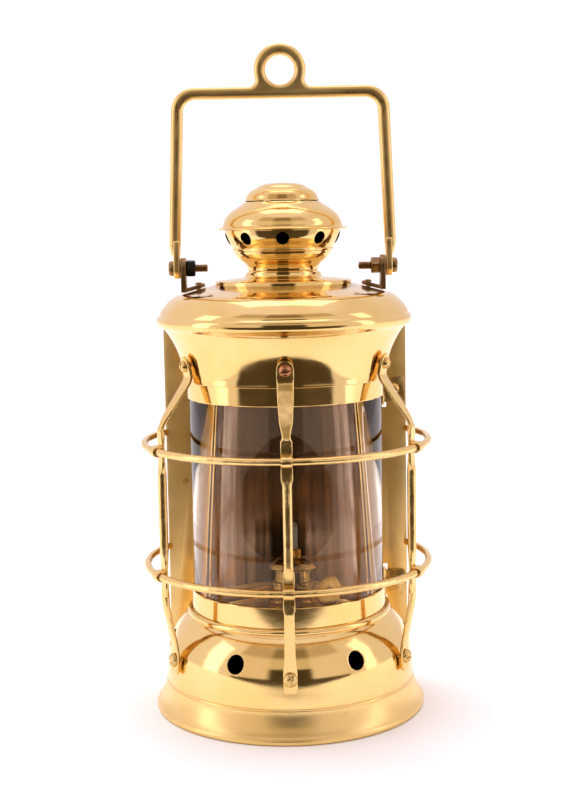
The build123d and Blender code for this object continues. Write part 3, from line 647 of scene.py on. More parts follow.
def slotted_screw(name, head_radius, head_height, slot_turn, slot_width=1.0, shank=1.4, flat=0.45):
    """Round-head screw standing on z = 0, its slot turned by slot_turn degrees."""
    section = outline([
        [(0, head_height), (head_radius * 0.42, head_height * 0.95), (head_radius * 0.8, head_height * 0.62),
         (head_radius, head_height * flat * 0.45)],
        [(head_radius, 0.0)],
        [(shank, 0.0)], [(shank, -3.6)],
        [(0, -3.6)],
    ], 0.6)
    screw = turned(name, section, closed=False, steps=40)
    start_clean()
    bpy.ops.mesh.primitive_cube_add(size=1)
    slot_cutter = bpy.context.object
    resize(slot_cutter, (head_radius * 3 * MM, slot_width * MM, head_height * MM))
    turn = Matrix.Rotation(math.radians(slot_turn), 4, "Z")
    turn.translation = Vector((0, 0, head_height * 1.05))
    place(slot_cutter, turn)
    cut(screw, slot_cutter)
    soften(screw, 0.09, 2, 35)
    return screw


# ---------------------------------------------------------------- pieces
class LANTERN_OT_base(bpy.types.Operator):
    """Spun base with its rolled foot, groove, shoulder, top bead and air holes"""
    bl_idname = "lantern.base"
    bl_label = "Base shell"

    def execute(self, context):
        own = values()
        vent_radius = 4.25
        vent_height = Vector((0, 0, 34.5))
        vent_angles = [-140.0 + index * 57.2 for index in range(6)]
        section = walled(outline([
            [(64.9, 0.15), (65.9, 0.25), (66.4, 1.3), (66.1, 2.6), (65.4, 3.4)],
            [(64.3, 4.9), (63.2, 7.1), (62.1, 10.1), (61.5, 12.6), (61.35, 13.9)],
            [(60.85, 14.4), (60.8, 15.0), (61.15, 15.6)],
            [(60.95, 18.4), (60.6, 22.5), (60.1, 28.4), (59.6, 31.2), (58.3, 34.8),
             (55.7, 39.8), (52.5, 44.1), (50.6, 46.0)],
            [(49.75, 46.6)],
            [(50.15, 47.3), (50.15, 48.2), (49.7, 49.0), (48.9, 49.4)],
            [(48.1, 49.4)],
        ], 1.0), own.sheet / MM)
        shell = turned("base_shell_spun", section, steps=256)
        cutters = [rod("cutter", vent_radius, outward(angle) * 40 + vent_height,
                       outward(angle) * 75 + vent_height, 48) for angle in vent_angles]
        cut(shell, *cutters)
        soften(shell, 0.2, 2, 55)
        # Inside of the base made near-black: painted shade, not soot.
        blacken_inside(shell, 0)
        dress(shell, "foot_brass", "base_shell")
        return {"FINISHED"}


class LANTERN_OT_bands(bpy.types.Operator):
    """Bands above and below the glass, and the upright channels that hold its ends"""
    bl_idname = "lantern.bands"
    bl_label = "Glass bands"

    def execute(self, context):
        own = values()
        wall = own.thin_sheet / MM
        for node in ("lower_glass_band", "upper_glass_band"):
            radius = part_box(node)[1].x / MM
            bottom, top = heights(node)
            edge_bead = 0.35
            section = walled(outline([
                [(radius - 0.25, bottom), (radius, bottom + edge_bead)],
                [(radius, top - edge_bead)],
                [(radius - 0.25, top)],
            ]), wall)
            band = turned(node + "_rolled", section)
            dress(band, "band_brass", node)
        for node in ("glass_channel_left", "glass_channel_right"):
            dress_node(node, "band_brass")
        return {"FINISHED"}


class LANTERN_OT_glass(bpy.types.Operator):
    """Bent lamp glass, open at the rear, with ground edges"""
    bl_idname = "lantern.glass"
    bl_label = "Lamp glass"

    def execute(self, context):
        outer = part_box("glass")[1].x / MM
        wall = 2.5
        end_angle = 125.0
        bottom, top = heights("glass")
        section = [(outer, bottom), (outer, top), (outer - wall, top), (outer - wall, bottom)]
        start = outward(-end_angle)
        spots = [tuple(start * radius + Vector((0, 0, height))) for radius, height in section]
        piece = start_point("lamp_glass_bent", spots[0])
        draw_on(spots)
        close_outline()
        bpy.ops.mesh.select_all(action="SELECT")
        bpy.ops.mesh.spin(steps=160, angle=-math.radians(2 * end_angle), center=(0, 0, 0), axis=(0, 0, 1))
        bpy.ops.mesh.select_all(action="SELECT")
        bpy.ops.mesh.fill_holes(sides=0)
        face_out()
        soften(piece, 0.4, 2, 50)
        dress(piece, "lamp_glass", "glass", slot="clear_glass")
        return {"FINISHED"}


class LANTERN_OT_top(bpy.types.Operator):
    """Spun top with its flared skirt, rolled rim and dome"""
    bl_idname = "lantern.top"
    bl_label = "Top shell"

    def execute(self, context):
        own = values()
        section = walled(outline([
            [(48.95, 161.6), (49.3, 161.9), (49.3, 162.6)],
            [(49.35, 165.2), (50.2, 169.6), (51.8, 175.0), (54.1, 180.3), (56.6, 184.6),
             (58.2, 186.6)],
            [(59.9, 187.3), (61.4, 188.7), (61.75, 190.2), (61.3, 192.0), (60.2, 193.1)],
            [(60.15, 193.5)],
            [(59.4, 195.3), (57.6, 197.7), (55.0, 200.3), (51.6, 202.4), (48.4, 203.3)],
            [(47.0, 203.5)],
            [(33.6, 207.3)],
        ], 1.0), own.sheet / MM)
        shell = turned("top_shell_spun", section, steps=256)
        soften(shell, 0.2, 2, 60)
        dress(shell, "spun_brass", "top_shell")
        return {"FINISHED"}


class LANTERN_OT_chimney(bpy.types.Operator):
    """Crown plate, vented chimney, flared cap and knob"""
    bl_idname = "lantern.chimney"
    bl_label = "Chimney"

    def execute(self, context):
        own = values()
        thin = own.thin_sheet / MM
        crown = turned("crown_plate_turned", walled(outline([
            [(33.0, 206.4), (33.0, 208.3)],
            [(32.85, 208.75), (32.4, 209.05)],
            [(20.4, 210.35)],
            [(19.1, 210.7), (18.35, 211.6), (18.2, 212.8)],
        ], 0.6), 0.9))
        dress(crown, "spun_brass", "crown_plate")
        chimney = turned("chimney_body_spun", walled(outline([
            [(17.1, 207.2), (17.1, 213.2)],
            [(16.75, 213.6), (17.1, 214.1)],
            [(17.25, 215.2), (18.3, 216.9), (20.4, 218.5), (22.2, 220.2), (23.2, 222.0),
             (23.3, 223.0)],
            [(24.2, 223.2)],
            [(24.45, 223.9), (24.15, 224.5)],
            [(25.4, 226.3), (26.7, 228.5), (27.6, 230.9), (27.9, 233.2)],
        ], 0.8), thin), steps=216)
        hole_radius = 3.1
        inner_end = Vector((0, 0, 231.2))
        outer_end = Vector((0, 0, 226.8))
        holes = [rod("cutter", hole_radius, outward(index * 40) * 15 + inner_end,
                     outward(index * 40) * 40 + outer_end, 40) for index in range(9)]
        cut(chimney, *holes)
        soften(chimney, 0.15, 2, 55)
        blacken_inside(chimney, 216)
        dress(chimney, "spun_brass", "chimney_body")
        cap = turned("chimney_cap_spun", walled(outline([
            [(28.2, 233.4), (30.7, 233.2), (31.15, 233.4), (31.2, 233.75), (30.7, 234.1), (29.2, 234.4)],
            [(28.75, 235.2), (28.4, 236.6), (27.5, 238.7), (25.9, 240.8), (23.8, 242.6),
             (21.2, 244.3), (19.4, 245.4)],
            [(18.3, 246.4)],
        ], 0.8), 0.8), steps=200)
        blacken_inside(cap, 234)
        dress(cap, "spun_brass", "chimney_cap")
        top = heights("chimney_knob")[1]
        knob = turned("chimney_knob_spun", outline([
            [(0.0, top), (4.4, top - 0.12), (8.2, top - 0.6), (11.0, top - 1.5)],
            [(12.3, top - 2.5), (14.6, top - 3.6), (16.6, top - 5.6), (17.6, top - 8.0),
             (18.0, top - 8.6)],
            [(17.2, top - 8.8)],
            [(16.4, top - 6.6), (14.2, top - 4.4), (8.2, top - 1.8), (0.0, top - 1.0)],
        ], 0.8), closed=False, steps=160)
        dress(knob, "spun_brass", "chimney_knob")
        return {"FINISHED"}


class LANTERN_OT_wings(bpy.types.Operator):
    """Two flat back wings with a folded hem, shaped round the base"""
    bl_idname = "lantern.wings"
    bl_label = "Back wings"

    def execute(self, context):
        for side, side_name in SIDES:
            node = "back_wing_" + side_name
            low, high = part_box(node)
            bottom, top = heights(node)
            inner, outer = sorted((abs(low.x) / MM, abs(high.x) / MM))
            front = low.y / MM
            base_edge = 53.4
            hem_width = 3.0
            corners = [
                (side * base_edge, bottom, 0), (side * outer, bottom, 1.2), (side * outer, top, 2.0),
                (side * 50.6, top, 1.0), (side * inner, 171.0, 0), *self.lower_edge(side, inner),
                (side * 51.0, 36.5, 0), (side * base_edge, 31.0, 0),
            ]
            wing = plate(node + "_sheet", corners, 1.0, 0.2)
            hem_corners = [
                (side * (outer - hem_width), bottom + 0.2, 0.8), (side * outer, bottom + 0.2, 0.5),
                (side * outer, top - 0.2, 0.5), (side * (outer - hem_width), top - 0.2, 0.8),
            ]
            hem = plate("hem", hem_corners, 0.8, 0.3)
            place(wing, standing(front + 1.0))
            place(hem, standing(front + 1.8))
            wing = merge_pieces(node + "_sheet", wing, hem)
            dress(wing, "wing_brass", node)
        return {"FINISHED"}

    def lower_edge(self, side, inner):
        """Inner edge from the flare down; on the right wing it steps back round both hinge barrels."""
        if side < 0:
            return [(side * inner, 45.5, 0)]
        edge = []
        far = HINGE_AXIS[0] + 2.4
        for node in HINGES:
            bottom, top = heights(node)
            edge += [(inner, top + 2.65, 0), (far, top + 2.65, 0)]
            if node == "hinge_leaf_upper":
                edge += [(far, bottom - 2.5, 0), (inner, bottom - 2.5, 0)]
        return edge


class LANTERN_OT_hinges(bpy.types.Operator):
    """Fixed leaves with their slotted screws, pins, and the leaves of the rear door"""
    bl_idname = "lantern.hinges"
    bl_label = "Door hinges"

    def execute(self, context):
        axis_x, axis_y = HINGE_AXIS
        leaf = 1.0
        for node in HINGES:
            bottom, top = heights(node)
            flat = plate(node + "_flat", [
                (axis_x + 1.0, bottom, 0), (60.9, bottom, 2.2), (60.9, top - 0.15, 2.2),
                (axis_x + 1.0, top - 0.15, 0)], leaf, 0.25)
            place(flat, standing(WING_FRONT + leaf))
            third = (top + 0.15 - bottom) / 3
            barrels = []
            for start in (bottom, bottom + 2 * third):
                tube = [(1.0, start), (1.7, start), (1.9, start + 0.2), (1.9, start + third - 0.35),
                        (1.7, start + third - 0.15), (1.0, start + third - 0.15)]
                barrels.append(turned("barrel", tube, steps=32, centre=(axis_x, axis_y)))
            whole = merge_pieces(node + "_brass", flat, *barrels)
            dress(whole, "screw_brass", node)
        for node in ("hinge_pins", "door_hinge_leaves"):
            dress_node(node, "screw_brass")
        spots = ((55.4, 152.0, -30), (56.2, 50.6, 80))
        screws = []
        for x, height, turn in spots:
            screw = slotted_screw("screw", 2.7, 1.9, turn, 0.75)
            place(screw, looking((0, -1, 0), (x, WING_FRONT, height)))
            screws.append(screw)
        heads = merge_pieces("hinge_screw_heads", *screws)
        dress(heads, "screw_brass", "hinge_screws")
        return {"FINISHED"}


class LANTERN_OT_door(bpy.types.Operator):
    """Bowed rear door and the tinned reflector inside it"""
    bl_idname = "lantern.door"
    bl_label = "Rear door"

    def execute(self, context):
        centre_y = -9.6
        sheets = (
            ("door_panel", "door_panel_bowed", 58.0, 1.0, 39.9, "wing_brass", "polished_brass"),
            ("reflector", "reflector_bowed", 57.3, 0.5, 36.4, "rolled_tin", "tinned_sheet"),
        )
        for node, name, radius, wall, half_width, finish, slot in sheets:
            bottom, top = heights(node)
            half_angle = math.asin(half_width / radius)
            piece = start_point(name, (-half_width, centre_y + radius * math.cos(half_angle), bottom))
            draw_on([(0, 0, bottom), (0, 0, top)])
            bpy.ops.mesh.select_all(action="SELECT")
            bpy.ops.mesh.spin(steps=72, angle=2 * half_angle, center=(0, centre_y * MM, 0), axis=(0, 0, 1))
            face_out(merge=True)
            facing_in = sum(face.normal.y for face in piece.data.polygons) < 0
            apply_modifier(piece, "SOLIDIFY", thickness=wall * MM, offset=-1.0 if facing_in else 1.0)
            parts = [piece]
            if node == "door_panel":
                lap_y = 32.3
                near = 39.2
                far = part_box(node)[1].x / MM
                for side in (-1, 1):
                    flat = plate("lap", [
                        (side * near, bottom, 0), (side * far, bottom, 0.8), (side * far, top, 0.8),
                        (side * near, top, 0)], wall, 0.2)
                    place(flat, standing(lap_y + wall))
                    parts.append(flat)
            whole = merge_pieces(name, *parts)
            dress(whole, finish, node, body="rear_door", slot=slot)
        return {"FINISHED"}


class LANTERN_OT_latch(bpy.types.Operator):
    """Turn button that holds the rear door shut, and its rivet"""
    bl_idname = "lantern.latch"
    bl_label = "Door latch"

    def execute(self, context):
        low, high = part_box("turn_button")
        size = (high - low) / MM
        start_clean()
        bpy.ops.mesh.primitive_cylinder_add(vertices=64, radius=0.5 * MM, depth=1 * MM)
        button = bpy.context.object
        button.name = "turn_button_oval"
        resize(button, (size.x, size.z, size.y))
        soften(button, 0.4, 3, 50)
        place(button, looking((0, 1, 0), mid("turn_button") / MM))
        dress(button, "screw_brass", "turn_button", body="door_latch")
        dress_node("latch_rivet", "screw_brass")
        return {"FINISHED"}


def loft_bar(name, stations, sides=24):
    """Bar whose section changes along its way.

    Each station is (radius, height, half width, half thickness, squareness): a hand-forged bar goes from
    flat to round and back, so its rings are placed one by one and bridged."""
    mesh = bpy.data.meshes.new(name)
    piece = bpy.data.objects.new(name, mesh)
    bpy.context.scene.collection.objects.link(piece)
    shape = bmesh.new()
    rings = []
    for index, (radius, height, half_width, half_thick, square) in enumerate(stations):
        before = Vector(stations[max(index - 1, 0)][:2])
        after = Vector(stations[min(index + 1, len(stations) - 1)][:2])
        run = (after - before).normalized()
        across = Vector((run.y, -run.x))
        ring = []
        for count in range(sides):
            angle = FULL_TURN * count / sides
            cosine = math.cos(angle)
            sine = math.sin(angle)
            wide = math.copysign(abs(cosine) ** square, cosine) * half_width
            thick = math.copysign(abs(sine) ** square, sine) * half_thick
            spot = Vector((radius, height)) + across * thick
            ring.append(shape.verts.new((wide * MM, -spot.x * MM, spot.y * MM)))
        rings.append(ring)
    for lower, upper in zip(rings, rings[1:]):
        for count in range(sides):
            following = (count + 1) % sides
            shape.faces.new((lower[count], lower[following], upper[following], upper[count]))
    shape.faces.new(rings[0][::-1])
    shape.faces.new(rings[-1])
    bmesh.ops.recalc_face_normals(shape, faces=shape.faces)
    shape.to_mesh(mesh)
    shape.free()
    return piece


def bar_stations():
    """Stations of one guard bar from its foot to the tip of its top tab."""
    low_ring, high_ring = RING_HEIGHTS
    rod_half = 2.1
    flat_half = 0.85
    stations = [
        (62.15, 23.3, 2.3, 0.5, FLAT), (62.1, 24.2, 3.2, flat_half, FLAT), (61.8, 30.0, 3.3, flat_half, FLAT),
        (61.65, 33.6, 3.2, flat_half, FLAT), (61.95, 36.4, 2.9, flat_half, FLAT),
        (62.9, 41.0, 2.6, 0.95, FLAT), (64.4, 48.6, 2.45, 1.1, 0.4), (65.6, 54.8, 2.4, 1.3, 0.5),
        (66.05, 58.2, 2.35, 1.4, 0.5), (BAR_RADIUS, 61.5, 2.35, 1.5, 0.5),
    ]
    for ring in (low_ring, high_ring):
        stations += [
            (BAR_RADIUS, ring - 9.6, 2.3, 1.6, 0.55), (BAR_RADIUS, ring - 8.8, 2.75, 1.25, 0.4),
            (BAR_RADIUS, ring - 5.0, 2.7, 0.95, FLAT), (BAR_RADIUS, ring - 3.2, 2.6, flat_half, FLAT),
            (BAR_RADIUS, ring + 3.2, 2.6, flat_half, FLAT), (BAR_RADIUS, ring + 5.0, 2.7, 0.95, FLAT),
            (BAR_RADIUS, ring + 8.8, 2.65, 1.3, 0.45), (BAR_RADIUS, ring + 9.5, 2.2, 1.7, 0.7),
        ]
        if ring == low_ring:
            stations += [(BAR_RADIUS, ring + 11.5, rod_half, rod_half, ROUND),
                         (BAR_RADIUS, (low_ring + high_ring) / 2, rod_half, rod_half, ROUND),
                         (BAR_RADIUS, high_ring - 11.5, rod_half, rod_half, ROUND)]
    stations += [
        (66.0, 142.0, 1.9, 1.0, 0.4), (65.1, 144.4, 2.3, flat_half, FLAT),
        (63.2, 147.4, 3.0, flat_half, FLAT),
        (59.0, 153.2, 3.5, flat_half, FLAT), (54.9, 159.0, 3.8, flat_half, FLAT),
        (52.2, 163.0, 3.85, flat_half, FLAT), (51.5, 165.4, 3.9, flat_half, FLAT),
        (52.0, 168.0, 4.0, flat_half, FLAT), (52.6, 170.6, 4.0, flat_half, FLAT),
        (53.1, 172.6, 3.55, flat_half, FLAT), (53.45, 173.9, 2.6, flat_half, 0.4),
        (53.65, 174.6, 1.3, flat_half, 0.5),
    ]
    return stations


class LANTERN_OT_bars(bpy.types.Operator):
    """Three upright guard bars, round between the rings and hammered flat where they cross and end"""
    bl_idname = "lantern.bars"
    bl_label = "Guard bars"

    def execute(self, context):
        names = ("guard_bar_left", "guard_bar_front", "guard_bar_right")
        pattern = loft_bar("bar_pattern", bar_stations())
        for angle, node in zip(GUARD_ANGLES, names):
            bar = pattern.copy()
            bar.data = pattern.data.copy()
            bar.name = node + "_forged"
            bpy.context.scene.collection.objects.link(bar)
            place(bar, Matrix.Rotation(math.radians(angle), 4, "Z"))
            dress(bar, "wire_brass", node, angle=40)
        bpy.data.objects.remove(pattern)
        return {"FINISHED"}


class LANTERN_OT_rings(bpy.types.Operator):
    """Two guard rings that end on the back wings, and the saddles that bind them to the bars"""
    bl_idname = "lantern.rings"
    bl_label = "Guard rings"

    def execute(self, context):
        ring_radius = 69.1
        wire = 1.7
        for node in RINGS:
            low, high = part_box(node)
            start_clean()
            bpy.ops.mesh.primitive_torus_add(
                major_segments=224, minor_segments=24, major_radius=ring_radius * MM,
                minor_radius=wire * MM, location=(0, 0, (low.z + high.z) / 2))
            ring = bpy.context.object
            ring.name = node + "_wire"
            bpy.ops.object.mode_set(mode="EDIT")
            bpy.ops.mesh.select_all(action="SELECT")
            bpy.ops.mesh.bisect(plane_co=(0, high.y, 0), plane_no=(0, 1, 0), use_fill=True,
                                clear_outer=True)
            bpy.ops.object.mode_set(mode="OBJECT")
            dress(ring, "wire_brass", node, angle=50)
        bend = wire + 0.15
        leg_end = BAR_RADIUS + 0.9
        clip_width = 5.2
        saddles = []
        for height in RING_HEIGHTS:
            for angle in GUARD_ANGLES:
                arc = [Vector((ring_radius + bend * math.cos(turn), height + bend * math.sin(turn)))
                       for turn in (math.radians(-90 + 15 * count) for count in range(13))]
                path = [Vector((leg_end, height - bend)), *arc, Vector((leg_end, height + bend))]
                spots = [(-clip_width / 2, -point.x, point.y) for point in path]
                saddle = start_point("saddle", spots[0])
                bpy.ops.mesh.extrude_region_move(TRANSFORM_OT_translate={"value": (clip_width * MM, 0, 0)})
                bpy.ops.mesh.select_all(action="SELECT")
                draw_on(spots)
                face_out()
                outward_faces = sum(face.normal.y for face in saddle.data.polygons) < 0
                apply_modifier(saddle, "SOLIDIFY", thickness=0.8 * MM, offset=1.0 if outward_faces else -1.0)
                soften(saddle, 0.22, 2, 50)
                place(saddle, Matrix.Rotation(math.radians(angle), 4, "Z"))
                saddles.append(saddle)
        clips = merge_pieces("guard_saddles", *saddles)
        dress(clips, "wire_brass", "guard_clips", angle=40)
        return {"FINISHED"}


class LANTERN_OT_guard_screws(bpy.types.Operator):
    """Screws of the guard bars: three in the top tabs, three in the feet"""
    bl_idname = "lantern.guard_screws"
    bl_label = "Guard screws"

    def execute(self, context):
        rows = (
            ("guard_top_screws", "guard_screws_top", (2.85, 2.2), 0.7, (70, 10, 45), -15, 53.36, 170.2,
             "copper"),
            ("guard_foot_screws", "guard_screws_bottom", (3.35, 2.5), 0.95, (20, 65, 0), 0, 62.75, 30.0,
             None),
        )
        for name, node, head, slot_width, slot_turns, tilt, reach, height, odd_finish in rows:
            screws = []
            for angle, slot_turn in zip(GUARD_ANGLES, slot_turns):
                screw = slotted_screw("screw", *head, slot_turn, slot_width)
                if odd_finish:
                    screw.data.materials.append(material("screw_brass" if angle else odd_finish))
                place(screw, looking(outward(angle, tilt), outward(angle) * reach + Vector((0, 0, height))))
                screws.append(screw)
            dress(merge_pieces(name, *screws), "screw_brass", node)
        return {"FINISHED"}


class LANTERN_OT_bail(bpy.types.Operator):
    """Bail with its arched hanging eye and flattened lugs"""
    bl_idname = "lantern.bail"
    bl_label = "Bail"

    def execute(self, context):
        foot = PIVOT_HEIGHT + 8.0
        half = 2.7
        depth = 7.0
        cross = 297.9
        foot_x = 51.8
        top_x = 48.9
        eye_height = 308.4
        eye_radius = 12.3
        outer_corner = 11.0
        inner_corner = 6.0
        eye_bore = 7.0
        neck = eye_radius - 1.2
        eye_arc = [(eye_radius * math.cos(turn), eye_height + eye_radius * math.sin(turn), 0)
                   for turn in (math.radians(-12 + 204 * count / 40) for count in range(41))]
        taper = foot + 2.5
        end = foot - 3
        lug_near = 49.5
        lug_far = 53.3
        corners = [
            (-lug_near, end, 0), (-foot_x + half, taper, 3.0), (-top_x + half, cross - half, inner_corner),
            (top_x - half, cross - half, inner_corner), (foot_x - half, taper, 3.0), (lug_near, end, 0),
            (lug_far, end, 0), (foot_x + half, taper, 3.0),
            (top_x + half, cross + half, outer_corner), (neck, cross + half, 3.2),
            *eye_arc, (-neck, cross + half, 3.2), (-top_x - half, cross + half, outer_corner),
            (-foot_x - half, taper, 3.0), (-lug_far, end, 0),
        ]
        piece = plate("bail_bar", corners, depth, 0, holes=((0, eye_height, eye_bore),), arc_steps=8)
        soften(piece, 2.1, 6, 40, clamp=False)
        place(piece, standing(depth / 2))
        parts = [piece]
        for side in (-1, 1):
            lug = plate("lug", [
                (-4.0, 13.5, 1.5), (-4.6, 4.0, 0), (-4.9, -0.01, 0), (-4.9, -5.0, 4.85), (4.9, -5.0, 4.85),
                (4.9, 0.01, 0), (4.6, 4.0, 0), (4.0, 13.5, 1.5)], 3.0, 0.5, edge_segments=3, arc_steps=10)
            place(lug, looking((1, 0, 0), (side * 51.1 - 1.5, 0, PIVOT_HEIGHT)))
            parts.append(lug)
        bail = merge_pieces("bail_bar", *parts)
        dress(bail, "cast_brass", "bail", body="bail", angle=40)
        return {"FINISHED"}


class LANTERN_OT_bail_fixings(bpy.types.Operator):
    """Angle brackets, rivets, threaded bolts and nuts that carry the bail"""
    bl_idname = "lantern.bail_fixings"
    bl_label = "Bail fixings"

    def execute(self, context):
        bend_height = 203.9
        nut_finish = {"left": ("dark_steel", "dark_steel"), "right": ("aged_and_shaded_brass", "polished_brass")}
        for side, side_name in SIDES:
            node = "bail_bracket_" + side_name
            upright = plate("upright", [
                (-5.1, bend_height - PIVOT_HEIGHT, 0), (5.1, bend_height - PIVOT_HEIGHT, 0), (5.1, 5.1, 5.0),
                (-5.1, 5.1, 5.0)], 2.5, 0.35, arc_steps=10)
            inner = 46.7 if side > 0 else -49.2
            place(upright, looking((1, 0, 0), (inner, 0, PIVOT_HEIGHT)))
            foot = plate("foot", [
                (0, -5.1, 0), (10.3, -5.1, 2.0), (10.3, 5.1, 2.0), (0, 5.1, 0)], 1.8, 0.35)
            slope = math.atan2(3.8, 13.4)
            lean = Matrix.Rotation(-slope, 4, "Y")
            tilt = lean if side < 0 else Matrix.Rotation(math.pi, 4, "Z") @ lean
            tilt.translation = Vector((side * 47.6, 0, 203.75))
            place(foot, tilt)
            bracket = merge_pieces(node + "_bent", upright, foot)
            # The brackets get the darker brass; their darkness is painted shade.
            dress(bracket, "aged_and_shaded_brass", node)
            bolt = self.bolt("bail_bolt_" + side_name, side)
            dress(bolt, "aged_and_shaded_brass", "bail_bolt_" + side_name)
            finish, slot = nut_finish[side_name]
            nut = self.nut("bail_nut_" + side_name, side)
            dress(nut, finish, "bail_nut_" + side_name, slot=slot, angle=25)
        dress_node("bracket_rivets", "aged_and_shaded_brass")
        return {"FINISHED"}

    def bolt(self, node, side):
        """Round-head M4 bolt with a cut thread."""
        low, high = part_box(node)
        head_end = (high.x if side > 0 else -low.x) / MM
        tip = (low.x if side > 0 else -high.x) / MM
        length = head_end - tip
        head = 2.5
        radius = 1.95
        section = outline([
            [(0.0, 0.0), (2.4, 0.0), (3.3, 0.35), (3.6, 1.0)], [(3.6, head)],
            [(radius, head)], [(radius, head + 6.0)],
            [(radius - 0.25, head + 6.2)],
            [(radius - 0.25, length - 0.5)],
            [(0.0, length)],
        ], 0.5)
        shaft = turned(node + "_shaft", section, closed=False, steps=40)
        pitch = 0.7
        turns = int((length - head - 6.6) / pitch)
        spots = [(radius - 0.3, 0, 0), (radius, 0, pitch * 0.35), (radius - 0.3, 0, pitch * 0.7)]
        thread = start_point("thread", spots[0])
        draw_on(spots)
        close_outline()
        bpy.ops.object.mode_set(mode="OBJECT")
        apply_modifier(thread, "SCREW", angle=FULL_TURN, screw_offset=pitch * MM, iterations=turns, steps=24,
                       render_steps=24, use_merge_vertices=True, merge_threshold=0.001 * MM)
        place(thread, Matrix.Translation((0, 0, head + 6.1)))
        whole = merge_pieces(node + "_turned", shaft, thread)
        place(whole, looking((-side, 0, 0), (side * head_end, 0, PIVOT_HEIGHT)))
        return whole

    def nut(self, node, side):
        """Hexagon nut with chamfered corners and a bored middle."""
        low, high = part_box(node)
        inner = (low.x if side > 0 else -high.x) / MM
        thick = (high.x - low.x) / MM
        corner_radius = 4.1
        bore = 1.98
        start_clean()
        bpy.ops.mesh.primitive_cylinder_add(vertices=6, radius=corner_radius * MM, depth=thick * MM)
        piece = bpy.context.object
        piece.name = node + "_hex"
        crown = turned("crown", [(0.0, -thick / 2), (3.5, -thick / 2), (4.15, -thick / 2 + 0.5),
                                 (4.15, thick / 2 - 0.5), (3.5, thick / 2), (0.0, thick / 2)],
                       closed=False, steps=48)
        apply_modifier(piece, "BOOLEAN", operation="INTERSECT", solver="EXACT", object=crown)
        bpy.data.objects.remove(crown)
        cut(piece, rod("cutter", bore, (0, 0, -9), (0, 0, 9), 40))
        soften(piece, 0.12, 2, 28)
        turn = looking((side, 0, 0), (side * (inner + thick / 2), 0, PIVOT_HEIGHT))
        place(piece, turn @ Matrix.Rotation(math.radians(20), 4, "Z"))
        return piece


class LANTERN_OT_inside(bpy.types.Operator):
    """Tank, shelf ring, floor and flue, which keep their CAD shape"""
    bl_idname = "lantern.inside"
    bl_label = "Hidden shells"

    def execute(self, context):
        dress_node("base_floor", "wing_brass")
        for node in ("tank_well_ring", "oil_tank", "wick_gears"):
            dress_node(node, "burner_brass")
        dress_node("inner_flue", "lamp_soot_and_shade")
        return {"FINISHED"}


class LANTERN_OT_burner(bpy.types.Operator):
    """Turned burner: collar, body, gallery, flame dome and flat wick tube"""
    bl_idname = "lantern.burner"
    bl_label = "Burner"

    def execute(self, context):
        spot = (BURNER_X, 0.0)
        base = heights("burner_collar")[0]
        collar = turned("burner_collar_turned", outline([
            [(8.0, base), (11.6, base)], [(11.95, base + 0.5), (11.9, base + 1.5)],
            [(11.3, base + 2.0)], [(8.0, base + 2.0)]], 0.4),
            steps=96, centre=spot)
        dress(collar, "burner_brass", "burner_collar", body="tank", slot="burner_brass")
        drums = (
            ("burner_body", 0.7, 10.65, 10.25, (0.7, 1.0), (1.6, 1.2), ((10.6, 0.4), (10.0, 0.0)), 8.5),
            ("burner_gallery", 0.6, 9.2, 8.95, (1.1, 1.4), (1.2, 0.9), ((9.15, 0.3), (8.6, 0.0)), 7.6),
        )
        for node, wall, bead, waist, (bead_end, waist_start), (waist_end, lip), shoulder, opening in drums:
            bottom, top = heights(node)
            drum = turned(node + "_turned", walled(outline([
                [(bead, bottom), (bead, bottom + bead_end)], [(waist, bottom + waist_start)],
                [(waist, top - waist_end)], [(bead, top - lip)],
                [(radius, top - drop) for radius, drop in shoulder], [(opening, top)]], 0.4), wall),
                steps=96, centre=spot)
            if node == "burner_body":
                cut(drum, rod("cutter", 1.05, WHEEL_SPOT, WHEEL_SPOT + WHEEL_AXIS * 20, 24))
            dress(drum, "burner_brass", node, body="tank", slot="burner_brass")
        bottom = heights("flame_dome")[0]
        dome = turned("flame_dome_pressed", walled(outline([
            [(10.6, bottom), (11.35, bottom + 0.2), (11.4, bottom + 0.9)],
            [(10.4, bottom + 2.2), (8.8, bottom + 3.4), (6.6, bottom + 4.7),
             (3.4, bottom + 5.3), (0.6, bottom + 5.5)]], 0.5), 0.6), steps=96, centre=spot)
        slot_cutter = plate("cutter", [
            (-6.2, -2.6, 1.5), (6.2, -2.6, 1.5), (6.2, 2.6, 1.5), (-6.2, 2.6, 1.5)], 14, 0)
        place(slot_cutter, along_wheel(BURNER_X, 0, bottom - 4))
        cut(dome, slot_cutter)
        soften(dome, 0.12, 2, 50)
        dress(dome, "burner_brass", "flame_dome", body="tank", slot="burner_brass")
        dress_node("wick_tube", "burner_brass")
        return {"FINISHED"}


